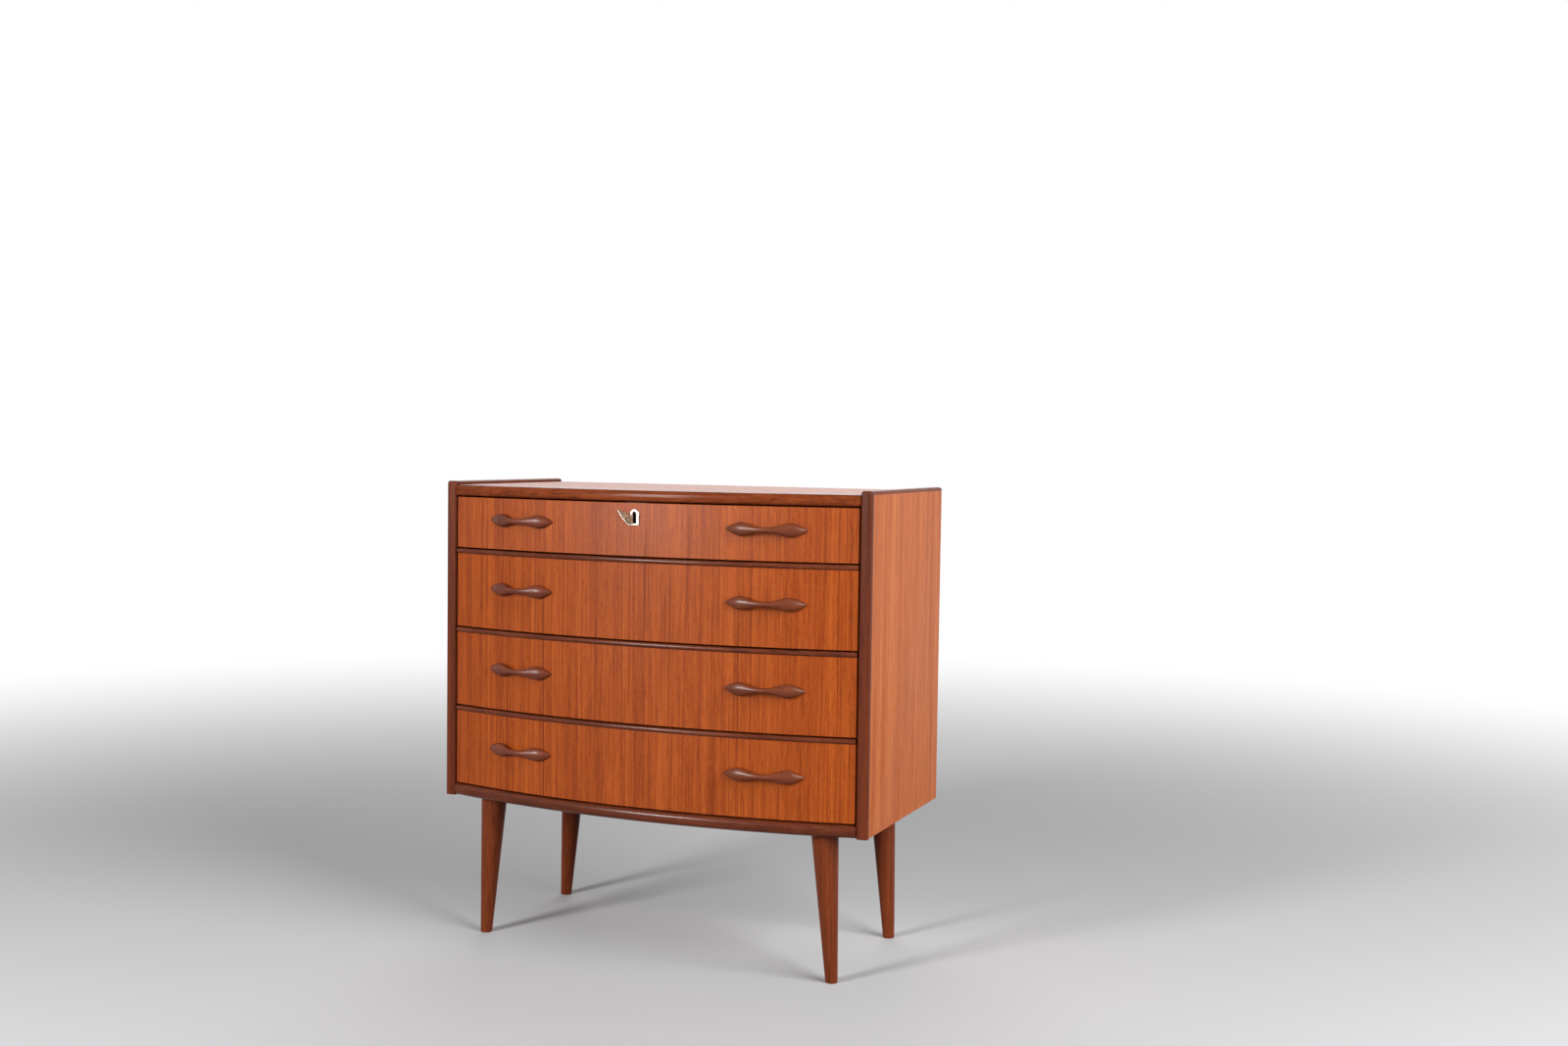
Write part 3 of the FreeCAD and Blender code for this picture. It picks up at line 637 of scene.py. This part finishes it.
def timber(name, axis, dark, mid, light, contrast=1.0, bands=220.0, pores=0.5, grit=0.22,
           gloss=0.32, shine=0.13, shift=(0, 0, 0)):
    """Oiled wood with its grain along one axis: bands, fine streaks, dark lines and open pores."""
    material, start = new_material(name)
    place = start.node("ShaderNodeTexCoord", output="Object").vector("ADD", shift)
    sway = figure(place, axis, SWAY, output=1).vector("SUBTRACT", (NOISE_MIDDLE,) * 3)
    bent = place.vector("ADD", sway.vector("MULTIPLY", along(axis, SWAY_REACH, 0.0)))
    streaks, drift, ticks, lines, flocks = (
        figure(bent, axis, layer, bands) for layer in (STREAKS, DRIFT, TICKS, LINES, FLOCKS))
    fibre = figure(place, axis, FIBRE)
    level = (streaks.swing(STREAK_TONE) + drift.swing(DRIFT_TONE) + ticks.swing(TICK_TONE)
             + fibre.swing(FIBRE_TONE))
    level = level * contrast + NOISE_MIDDLE
    stops = list(zip(TONE_STOPS, (solid(dark), solid(mid), solid(light))))
    tint = level.node("ShaderNodeValToRGB", {"stops": stops}, {0: level})
    line_mask = lines.between(*LINE_EDGE) * flocks.between(*FLOCK_EDGE) * LINE_DEPTH
    pore_mask = figure(place, axis, PORES).between(*PORE_EDGE) * pores
    dark_mask = (line_mask + pore_mask).clamped()
    tint = dark_mask.mix(tint, solid(dark))
    rough = (fibre.swing(FIBRE_ROUGH) + streaks.swing(STREAK_ROUGH) + dark_mask * DARK_ROUGH
             + gloss)
    relief = fibre * FIBRE_RELIEF + streaks * STREAK_RELIEF - pore_mask * PORE_RELIEF
    bump = start.node("ShaderNodeBump", None, {
        "Strength": grit, "Distance": WOOD_RELIEF, "Height": relief})
    shader = start.node("ShaderNodeBsdfPrincipled", None, {
        "Base Color": tint, "Roughness": rough, "Normal": bump, "Specular IOR Level": shine})
    start.node("ShaderNodeOutputMaterial", None, {"Surface": shader})
    return material


def metal(name, axis, colour, tarnish_and_dark_reflection, polish, hollow=None, painted_wood_reflection=None):
    """Brushed metal with dull patches.

    Behind the depth of its hollow it takes the tarnish tone with warm patches, a painted reflection
    of the wood round the plate.
    """
    material, start = new_material(name)
    place = start.node("ShaderNodeTexCoord", output="Object")
    brushing = figure(place, axis, BRUSHING)
    dull = figure(place, axis, DULL_PATCHES).between(*DULL_EDGE) * DULL_DEPTH
    if hollow is not None:
        # Behind the hollow's depth the dull mask is full, so the hollow is painted dark as a
        # painted reflection of the wood
        depth = place.node("ShaderNodeSeparateXYZ", None, {0: place}, output=1)
        dull = dull.math("MAXIMUM", dull, depth.between(hollow - TOUCH, hollow))
    # The tarnish tone, with warm patches in the hollow: a painted reflection of the wood round the
    # plate
    old = solid(tarnish_and_dark_reflection)
    if painted_wood_reflection is not None:
        patches = figure(place, axis, WOOD_REFLECTION_PATCHES).between(*WOOD_REFLECTION_EDGE)
        old = patches.mix(old, solid(painted_wood_reflection))
    tint = dull.mix(solid(colour), old)
    rough = brushing.swing(BRUSHING_ROUGH) + dull * DULL_ROUGH + polish
    bump = start.node("ShaderNodeBump", None, {
        "Strength": METAL_GRIT, "Distance": METAL_RELIEF, "Height": brushing})
    shader = start.node("ShaderNodeBsdfPrincipled", None, {
        "Base Color": tint, "Metallic": 1.0, "Roughness": rough, "Normal": bump})
    start.node("ShaderNodeOutputMaterial", None, {"Surface": shader})
    return material


# Finishes in wood: axis of the grain, name of the tones and what differs from plain oiled veneer
LIPPING = {"pores": 0.3, "gloss": 0.34, "shine": 0.10}
HANDLE = {"contrast": 0.7, "bands": 110.0, "pores": 0.2, "grit": 0.06, "gloss": 0.32, "shine": 0.27}
BEECH = {"contrast": 0.6, "bands": 120.0, "pores": 0.35, "gloss": 0.45}
WOODS = {
    "front_veneer": ("Z", "veneer", {"gloss": 0.38, "shine": 0.13}),
    "locked_front_veneer": ("Z", "veneer", {"gloss": 0.38, "shine": 0.20}),
    "top_veneer": ("X", "veneer", {"gloss": 0.38, "shift": (0.7, 0.3, 0.2)}),
    "side_veneer": ("Z", "side", {"contrast": 1.45, "shine": 0.05, "shift": (0.2, 0.9, 0.4)}),
    "upright_lipping": ("Z", "edge", LIPPING),
    "lengthwise_lipping": ("Y", "edge", LIPPING),
    "bent_moulding": ("X", "moulding", {
        "contrast": 0.8, "bands": 120.0, "grit": 0.06, "gloss": 0.19, "shine": 0.07}),
    "bent_rail": ("X", "rail", {
        "contrast": 0.8, "bands": 90.0, "pores": 0.3, "grit": 0.08, "gloss": 0.22, "shine": 0.18}),
    "right_handle": ("X", "handle", HANDLE),
    # The left handles take the darker lipping tones: darker wood, and painted shade for the less
    # lit left of the chest
    "left_handle": ("X", "edge", HANDLE),
    "turned_leg": ("Z", "leg", {
        "contrast": 0.8, "bands": 110.0, "grit": 0.12, "gloss": 0.36, "shine": 0.10}),
    "lengthwise_beech": ("Y", "beech", BEECH),
    "crosswise_beech": ("X", "beech", BEECH),
    "crosswise_plywood": ("X", "ply", {"contrast": 0.6, "bands": 90.0, "gloss": 0.55}),
    "upright_plywood": ("Z", "ply", {"contrast": 0.6, "bands": 90.0, "gloss": 0.58}),
}

# Finishes in metal: axis of the brushing, name of the tone, and roughness
METALS = {
    "nickel_plating": ("Z", "nickel", 0.30),
    # The lock's dark steel is partly painted shade for the keyhole and the gap above the top front
    "lock_steel": ("X", "lock_steel", 0.55),
    "zinc_steel": ("X", "steel", 0.36),
}


def finish(name):
    """One of the chest's finishes, made when it is first asked for."""
    return bpy.data.materials.get(name) or make_finish(name)


def make_finish(name):
    tones = bpy.context.scene.chest_tones
    if name in WOODS:
        axis, family, settings = WOODS[name]
        shades = [getattr(tones, "%s_%s" % (family, shade)) for shade in SHADES]
        return timber(name, axis, *shades, **settings)
    # The keyhole's walls and chamfer: a near-black wood finish that is painted shade in the hole as
    # well as grease
    if name == "greased_bore":
        return timber(name, "Y", tones.bore, tones.bore, tones.edge_dark, gloss=BORE_GLOSS)
    axis, family, polish = METALS[name]
    hollow_reflection = {}
    # The plate's hollow is painted dark with warm patches, a painted reflection of the wood round
    # it
    if name == "nickel_plating":
        face = keyhole_place().y - bpy.context.scene.chest_sizes.plate_thickness
        hollow_reflection = {"hollow": face + PLATE_HOLLOW * MM, "painted_wood_reflection": tones.painted_wood_reflection}
    return metal(name, axis, getattr(tones, family), tones.tarnish_and_dark_reflection, polish, **hollow_reflection)


# Operators, one for each piece or group of like pieces


class ChestOperator:
    """What the operators share: each builds its pieces from the scene's sizes."""

    bl_options = {"REGISTER", "UNDO"}

    def execute(self, context):
        self.build(context.scene.chest_sizes)
        return {"FINISHED"}


class CHEST_OT_sides(ChestOperator, bpy.types.Operator):
    """Ease the lower and rear edges of the two veneered sides"""

    bl_idname = "chest.sides"
    bl_label = "Sides"

    def build(self, sizes):
        for side, sign in SIDES.items():
            node = side + "_side_panel"
            low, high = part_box(node)
            outside = high.x if sign > 0 else low.x
            panel = solid_copy(node)
            panel.name = "veneered_side_" + side
            start_editing(panel, "EDGE")

            def is_eased(edge):
                spots = [vert.co for vert in edge.verts]
                if any(abs(spot.x - outside) > TOUCH for spot in spots):
                    return False
                under = all(abs(spot.z - low.z) < TOUCH for spot in spots)
                behind = all(abs(spot.y - high.y) < TOUCH for spot in spots)
                return under or behind

            ease_edges(is_eased, sizes.side_ease)
            close_up()
            put_in_place(panel, node, finish("side_veneer"))


class CHEST_OT_mouldings(ChestOperator, bpy.types.Operator):
    """Bend the moulding in front of the top and the rail under the drawers along the bow"""

    bl_idname = "chest.mouldings"
    bl_label = "Moulding and rail"

    def build(self, sizes):
        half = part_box("right_side_panel")[0].x
        rounds = {
            "top_front_moulding": (
                "moulding", sizes.moulding_under_round, sizes.moulding_top_round, FULL_ROUND),
            "bottom_front_rail": ("rail", sizes.rail_round, sizes.rail_round, PLAIN_ROUND)}
        for node, (name, low_round, high_round, fullness) in rounds.items():
            low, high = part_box(node)
            bar = bowed_bar(name, sizes.moulding_overhang, sizes.moulding_depth, half,
                            low.z, high.z, low_round, high_round, fullness=fullness)
            if node == "top_front_moulding":
                cut_out(bar, [solid_copy("lock_strike_plate"), self.bolt_mortise(sizes)])
            put_in_place(bar, node, finish("bent_" + name))

    def bolt_mortise(self, sizes):
        """A block as large as the hole that the lock's bolt rises into."""
        low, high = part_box("lock_bolt")
        throw = next(joint["range_m"][1] for joint in frame["joints"]
                     if joint["child"] == "lock_bolt")
        half = sizes.bolt_width / 2 + sizes.bolt_room
        return box_block("bolt_mortise", (-half, low.y - sizes.bolt_room, low.z),
                         (half, high.y + sizes.bolt_room, high.z + throw + sizes.bolt_room))


class CHEST_OT_lippings(ChestOperator, bpy.types.Operator):
    """Round the dark lippings on the front and top edges of the two sides"""

    bl_idname = "chest.lippings"
    bl_label = "Side lippings"

    def build(self, sizes):
        for side in SIDES:
            self.build_lipping(sizes, side, "front", "upright_lipping", self.is_round_in_front)
            self.build_lipping(sizes, side, "top", "lengthwise_lipping", self.is_round_on_top)

    def is_round_in_front(self, spot, low, high):
        """True for the middle of an edge that is rounded on a front lipping with this box."""
        on_top = abs(spot.z - high.z) < TOUCH and spot.y < high.y - TOUCH
        in_front = abs(spot.y - low.y) < TOUCH and spot.z > low.z + TOUCH
        return on_top or in_front

    def is_round_on_top(self, spot, low, high):
        """True for the middle of an edge that is rounded on a top lipping with this box."""
        return abs(spot.z - high.z) < TOUCH and spot.y > low.y + TOUCH

    def build_lipping(self, sizes, side, place, wood, is_rounded):
        node = "%s_side_%s_lipping" % (side, place)
        low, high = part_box(node)
        bar = box_block("%s_lipping_%s" % (place, side), low, high)
        start_editing(bar, "EDGE")
        ease_edges(lambda e: is_rounded(middle(e), low, high), sizes.lipping_round)
        close_up()
        put_in_place(bar, node, finish(wood))


class CHEST_OT_legs(ChestOperator, bpy.types.Operator):
    """Turn the four tapered legs and set them at their splay"""

    bl_idname = "chest.legs"
    bl_label = "Legs"

    def build(self, sizes):
        for side, sign in SIDES.items():
            for row in LEG_ROWS:
                self.build_leg(sizes, side, sign, row)

    def build_leg(self, sizes, side, sign, row):
        node = "%s_leg_%s" % (side, row)
        low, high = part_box(node)
        height = high.z - low.z
        outside = high.x if sign > 0 else -low.x
        foot = Vector((sign * (outside - sizes.leg_foot / 2), (low.y + high.y) / 2, low.z))
        top = foot + Vector((-sign * sizes.leg_splay, 0, height))
        axis = top - foot
        taper = (sizes.leg_top - sizes.leg_foot) / 2 / axis.length
        fresh_start()
        bpy.ops.mesh.primitive_cone_add(
            vertices=TURNED_STEPS, radius1=sizes.leg_foot / 2 - taper * SPARE,
            radius2=sizes.leg_top / 2 + taper * SPARE, depth=axis.length + 2 * SPARE,
            location=(foot + top) / 2, rotation=(0, -sign * math.atan2(sizes.leg_splay, height), 0))
        leg = named("leg_%s_%s" % (row, side))
        start_editing(leg, "EDGE")
        bpy.ops.mesh.select_all(action="SELECT")
        bpy.ops.mesh.bisect(plane_co=foot, plane_no=(0, 0, 1), use_fill=True, clear_inner=True)
        bpy.ops.mesh.select_all(action="SELECT")
        bpy.ops.mesh.bisect(plane_co=top, plane_no=(0, 0, 1), use_fill=True, clear_outer=True)
        ease_edges(lambda e: all(abs(v.co.z - foot.z) < TOUCH for v in e.verts), sizes.foot_round)
        close_up()
        put_in_place(leg, node, finish("turned_leg"))


class CHEST_OT_fronts(ChestOperator, bpy.types.Operator):
    """Bend the veneered drawer fronts and cut their dovetails, screw holes and keyhole"""

    bl_idname = "chest.fronts"
    bl_label = "Drawer fronts"

    def build(self, sizes):
        for number in DRAWERS:
            node = "drawer_%d_front" % number
            low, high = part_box(node)
            front = bowed_bar("veneered_front_%d" % number, 0, sizes.front_thickness, high.x,
                              low.z, high.z, sizes.front_ease, sizes.front_ease, sizes.front_ease)
            self.score(front, "drawer_%d_handle_right" % number)
            if number == LOCKED_DRAWER:
                self.score(front, "lock_escutcheon")
            cut_out(front, self.tools(sizes, number))
            veneer = "locked_front_veneer" if number == LOCKED_DRAWER else "front_veneer"
            put_in_place(front, node, finish(veneer))
            if number == LOCKED_DRAWER:
                darken_keyhole(front)

    def score(self, front, cover):
        """Divide the face of a front above and below a piece on it.

        The holes behind that piece then leave the rest of the face alone.
        """
        start_editing(front, "FACE")
        for level in (corner.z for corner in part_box(cover)):
            bpy.ops.mesh.select_all(action="SELECT")
            bpy.ops.mesh.bisect(plane_co=(0, 0, level), plane_no=(0, 0, 1))
        close_up()

    def tools(self, sizes, number):
        """What is cut out of a front: dovetails, groove, screw holes, and the room for the lock."""
        drawer = "drawer_%d_" % number
        nodes = [drawer + "bottom", drawer + "handle_screws"]
        if number == LOCKED_DRAWER:
            nodes.append("lock_screws")
        tools = [self.dovetails(drawer + "side_" + side, sign) for side, sign in SIDES.items()]
        tools += [solid_copy(node) for node in nodes]
        if number == LOCKED_DRAWER:
            tools += [keyhole_tool(), *self.lock_mortise(sizes)]
        return tools

    def dovetails(self, node, sign):
        """A drawer side to cut with, its outer face moved out past the end of the front."""
        low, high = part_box(node)
        outside = high.x if sign > 0 else low.x
        tool = solid_copy(node)
        start_editing(tool, "VERT")
        pick("verts", lambda v: abs(v.co.x - outside) < TOUCH)
        bpy.ops.transform.translate(value=(sign * SPARE, 0, 0))
        close_up()
        return tool

    def lock_mortise(self, sizes):
        """Two blocks, as large as the rooms for the lock's case and for its shallow flanges."""
        low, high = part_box("lock_case")
        fit, half = sizes.lock_fit, sizes.lock_width / 2
        top = high + Vector((0, SPARE, SPARE))
        rooms = {"case_room": (half, low.y), "flange_room": (high.x, high.y - sizes.lock_flange)}
        return [box_block(name, (-reach - fit, front - fit, low.z - fit),
                          (reach + fit, top.y, top.z))
                for name, (reach, front) in rooms.items()]


class CHEST_OT_lips(ChestOperator, bpy.types.Operator):
    """Bend the dark rounded lips on the top edges of the lower drawers"""

    bl_idname = "chest.lips"
    bl_label = "Drawer lips"

    def build(self, sizes):
        for number in LIPPED_DRAWERS:
            node = "drawer_%d_lip" % number
            low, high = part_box(node)
            depth = sizes.front_thickness + sizes.lip_overhang
            lip = bowed_bar("lip_%d" % number, sizes.lip_overhang, depth, high.x, low.z, high.z,
                            sizes.lip_round, sizes.lip_round, sizes.front_ease)
            put_in_place(lip, node, finish("bent_rail"))


class CHEST_OT_handles(ChestOperator, bpy.types.Operator):
    """Carve one handle, seat it on the bow and copy it to each place on the drawers"""

    bl_idname = "chest.handles"
    bl_label = "Handles"

    def build(self, sizes):
        pattern = self.carve()
        cut_out(pattern, [bow_seat("handle_seat")])
        centre, radius = bow()
        for number in DRAWERS:
            for side in SIDES:
                node = "drawer_%d_handle_%s" % (number, side)
                low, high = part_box(node)
                spot = (low + high) / 2
                turn = math.asin(spot.x / radius)
                handle = copied(pattern, "handle_%d_%s" % (number, side))
                to_centre = Matrix.Translation((0, -centre, 0))
                to_place = Matrix.Translation((0, centre, spot.z))
                handle.matrix_world = to_place @ Matrix.Rotation(turn, 4, "Z") @ to_centre
                bpy.ops.object.transform_apply(location=True, rotation=True, scale=True)
                # The left handles get the darker finish, which is partly painted shade
                put_in_place(handle, node, finish(side + "_handle"))
        bpy.data.objects.remove(pattern)

    def carve(self):
        """A handle at the middle of the bow and at height zero.

        Half of it is extruded from a circle, ring by ring, and then mirrored.
        """
        centre, radius = bow()
        fresh_start()
        rings = [[size * MM for size in ring] for ring in HANDLE_RINGS]
        spots = [Vector((u, centre - math.sqrt(radius ** 2 - u ** 2) - off, 0))
                 for u, off, _, _ in rings]
        spreads = [(1, deep, high) for _, _, high, deep in rings]
        bpy.ops.mesh.primitive_circle_add(vertices=HANDLE_SIDES, radius=1, fill_type="NGON",
                                          location=spots[0], rotation=(0, math.pi / 2, 0))
        handle = named("handle_pattern")
        start_editing(handle, "FACE")
        bpy.ops.mesh.select_all(action="SELECT")
        bpy.ops.transform.resize(value=spreads[0], center_override=spots[0])
        for here, there, old, new in zip(spots, spots[1:], spreads, spreads[1:]):
            bpy.ops.mesh.extrude_region_move(TRANSFORM_OT_translate={"value": there - here})
            growth = [after / before for before, after in zip(old, new)]
            bpy.ops.transform.resize(value=growth, center_override=there)
        bpy.ops.mesh.delete(type="FACE")
        bpy.ops.object.mode_set(mode="OBJECT")
        apply_modifier(handle, "MIRROR", use_clip=True, merge_threshold=TOUCH)
        start_editing(handle, "FACE")
        close_up()
        apply_modifier(handle, "SUBSURF", levels=HANDLE_LEVELS, render_levels=HANDLE_LEVELS)
        return handle


class CHEST_OT_keyhole_plate(ChestOperator, bpy.types.Operator):
    """Draw the winged keyhole plate, bevel its rim and seat it on the bow"""

    bl_idname = "chest.keyhole_plate"
    bl_label = "Keyhole plate"

    def build(self, sizes):
        points = [PLATE_FOOT_RIGHT, PLATE_FOOT_LEFT]
        points += arc_points(PLATE_FOOT_LEFT, PLATE_WING_OUTER, PLATE_WING_TIP)
        points += arc_points(PLATE_WING_TIP, PLATE_WING_INNER, PLATE_NOTCH)
        points += arc_points(PLATE_NOTCH, PLATE_RING_TOP, PLATE_RING_RIGHT)
        centre = keyhole_place()
        origin = centre - Vector((0, sizes.plate_thickness, 0))
        plate = drawn_plate("keyhole_plate", in_metres(points), origin, 2 * sizes.plate_thickness)
        cut_out(plate, [bow_seat("plate_seat"), keyhole_tool()])
        start_editing(plate, "EDGE")

        def is_rim(edge):
            on_face = all(abs(vert.co.y - origin.y) < TOUCH for vert in edge.verts)
            return on_face and edge.calc_face_angle(0) > RIM_ANGLE

        ease_edges(lambda e: is_rim(e) and in_keyhole(middle(e), centre),
                   sizes.keyhole_ease, CHAMFER_STEPS, clamp=True)
        ease_edges(lambda e: is_rim(e) and not in_keyhole(middle(e), centre),
                   sizes.plate_bevel, RIM_STEPS, clamp=True)
        close_up()
        outline = [HOLLOW_SHOULDER, HOLLOW_HEEL, HOLLOW_FOOT]
        outline += arc_points(HOLLOW_FOOT, HOLLOW_OUTER, HOLLOW_TIP)
        outline += arc_points(HOLLOW_TIP, HOLLOW_INNER, HOLLOW_NOTCH)
        before = origin - Vector((0, SPARE, 0))
        depth = SPARE + PLATE_HOLLOW * MM
        cut_out(plate, [drawn_plate("hollow_tool", in_metres(outline), before, depth)])
        put_in_place(plate, "lock_escutcheon", finish("nickel_plating"))
        darken_keyhole(plate)


class CHEST_OT_carcass(ChestOperator, bpy.types.Operator):
    """Finish the boards, drawer boxes, lock and screws that stay as the frame has them"""

    bl_idname = "chest.carcass"
    bl_label = "Case, drawer boxes and fittings"

    def build(self, sizes):
        finishes = {
            "top_panel": "top_veneer", "bottom_panel": "crosswise_plywood",
            "back_panel": "upright_plywood", "back_panel_screws": "zinc_steel",
            "left_runners": "lengthwise_beech", "right_runners": "lengthwise_beech",
            "runner_screws": "zinc_steel", "leg_studs": "zinc_steel",
            "lock_case": "lock_steel", "lock_bolt": "lock_steel",
            "lock_screws": "zinc_steel", "lock_strike_plate": "zinc_steel"}
        drawer = {
            "side_left": "lengthwise_beech", "side_right": "lengthwise_beech",
            "back": "crosswise_beech", "bottom": "crosswise_plywood",
            "handle_screws": "zinc_steel"}
        for number in DRAWERS:
            for piece, name in drawer.items():
                finishes["drawer_%d_%s" % (number, piece)] = name
        for node, name in finishes.items():
            mesh = frame["nodes"][node].data
            mesh.materials.clear()
            mesh.materials.append(finish(name))


class CHEST_OT_stage(ChestOperator, bpy.types.Operator):
    """Lay the floor, hang the lamps and set the camera"""

    bl_idname = "chest.stage"
    bl_label = "Stage"

    floor_radius = 6.0
    floor_sides = 96
    fade_start = 1.0
    fade_end = 4.0
    # Lamps, which are aimed at the target: place, width and height
    lamps = {
        "key": ((3.1, -0.9, 1.7), 2.2, 2.2),
        "fill": ((-1.25, -2.9, 1.35), 0.6, 1.1),
        "back": ((-1.2, 2.8, 2.6), 2.4, 2.4),
    }
    target = Vector((0, 0, 0.42))
    camera_place = (1.229007, -2.485866, 0.822323)
    camera_turn = 0.40233965
    camera_dip = 0.04638467
    camera_roll = 0.01368873
    camera_lens = 38.4685
    camera_sensor = 36.0

    def build(self, sizes):
        tones = bpy.context.scene.chest_tones
        self.lay_floor(tones)
        self.light_world(tones)
        for name, (place, width, height) in self.lamps.items():
            power = getattr(tones, name + "_power")
            self.hang_lamp(name + "_lamp", place, width, height, power)
        self.set_camera()
        bpy.context.scene.view_settings.view_transform = "Standard"

    def seen(self, start):
        """1 for rays that show the background to the camera, directly or in a reflection."""
        path = start.node("ShaderNodeLightPath")
        outputs = path.socket.node.outputs
        rays = [Wire(start.tree, outputs[name]) for name in
                ("Is Camera Ray", "Is Glossy Ray", "Is Transmission Ray")]
        return (rays[0] + rays[1] + rays[2]).clamped()

    def lay_floor(self, tones):
        fresh_start()
        bpy.ops.mesh.primitive_circle_add(vertices=self.floor_sides, radius=self.floor_radius,
                                          fill_type="NGON")
        floor = bpy.context.object
        floor.name = "studio_floor"
        material, start = new_material("studio_floor")
        place = start.node("ShaderNodeTexCoord", output="Object")
        distance = place.node("ShaderNodeVectorMath", {"operation": "LENGTH"}, {0: place}, output=1)
        seen = self.seen(start)
        fade = distance.between(self.fade_start, self.fade_end) * seen
        tint = seen.mix(solid(tones.floor_bounce), solid(tones.floor))
        matte = start.node("ShaderNodeBsdfDiffuse", None, {"Color": tint})
        white = start.node("ShaderNodeEmission", None, {"Color": WHITE, "Strength": 1.0})
        mixed = start.node("ShaderNodeMixShader", None, {0: fade, 1: matte, 2: white})
        start.node("ShaderNodeOutputMaterial", None, {"Surface": mixed})
        floor.data.materials.append(material)

    def light_world(self, tones):
        world = bpy.data.worlds.new("studio")
        bpy.context.scene.world = world
        world.use_nodes = True
        world.node_tree.nodes.clear()
        start = Wire(world.node_tree)
        even = start.node("ShaderNodeBackground", None, {
            "Color": WHITE, "Strength": tones.ambient})
        white = start.node("ShaderNodeBackground", None, {"Color": WHITE, "Strength": 1.0})
        mixed = start.node("ShaderNodeMixShader", None, {0: self.seen(start), 1: even, 2: white})
        start.node("ShaderNodeOutputWorld", None, {"Surface": mixed})

    def hang_lamp(self, name, place, width, height, power):
        fresh_start()
        bpy.ops.object.light_add(type="AREA", location=place)
        lamp = bpy.context.object
        lamp.name = name
        lamp.data.shape = "RECTANGLE"
        lamp.data.size = width
        lamp.data.size_y = height
        lamp.data.energy = power
        lamp.rotation_euler = (self.target - Vector(place)).to_track_quat("-Z", "Y").to_euler()

    def set_camera(self):
        fresh_start()
        bpy.ops.object.camera_add(location=self.camera_place)
        camera = bpy.context.object
        turn = Euler((math.pi / 2 - self.camera_dip, 0, self.camera_turn)).to_matrix()
        camera.rotation_euler = (turn @ Matrix.Rotation(self.camera_roll, 3, "Z")).to_euler()
        camera.data.sensor_fit = "HORIZONTAL"
        camera.data.sensor_width = self.camera_sensor
        camera.data.lens = self.camera_lens
        bpy.context.scene.camera = camera


OPERATORS = (
    CHEST_OT_carcass, CHEST_OT_sides, CHEST_OT_mouldings, CHEST_OT_lippings, CHEST_OT_legs,
    CHEST_OT_fronts, CHEST_OT_lips, CHEST_OT_handles, CHEST_OT_keyhole_plate, CHEST_OT_stage)


class CHEST_PT_panel(bpy.types.Panel):
    """Buttons that build the chest, with the sizes and tones that they use"""

    bl_idname = "CHEST_PT_panel"
    bl_label = "Bow front chest"
    bl_space_type = "VIEW_3D"
    bl_region_type = "UI"
    bl_category = "Chest"

    def draw(self, context):
        for operator in OPERATORS:
            self.layout.operator(operator.bl_idname)
        for group in (context.scene.chest_sizes, context.scene.chest_tones):
            column = self.layout.column(align=True)
            for name in group.__annotations__:
                column.prop(group, name)


CLASSES = (ChestSizes, ChestTones, *OPERATORS, CHEST_PT_panel)


def register():
    for item in CLASSES:
        bpy.utils.register_class(item)
    bpy.types.Scene.chest_sizes = PointerProperty(type=ChestSizes)
    bpy.types.Scene.chest_tones = PointerProperty(type=ChestTones)


def unregister():
    del bpy.types.Scene.chest_tones
    del bpy.types.Scene.chest_sizes
    for item in reversed(CLASSES):
        bpy.utils.unregister_class(item)


def main():
    register()
    bpy.ops.chest.stage()
    bpy.ops.chest.carcass()
    bpy.ops.chest.sides()
    bpy.ops.chest.mouldings()
    bpy.ops.chest.lippings()
    bpy.ops.chest.legs()
    bpy.ops.chest.fronts()
    bpy.ops.chest.lips()
    bpy.ops.chest.handles()
    bpy.ops.chest.keyhole_plate()
    fresh_start()


if __name__ == "__main__":
    main()
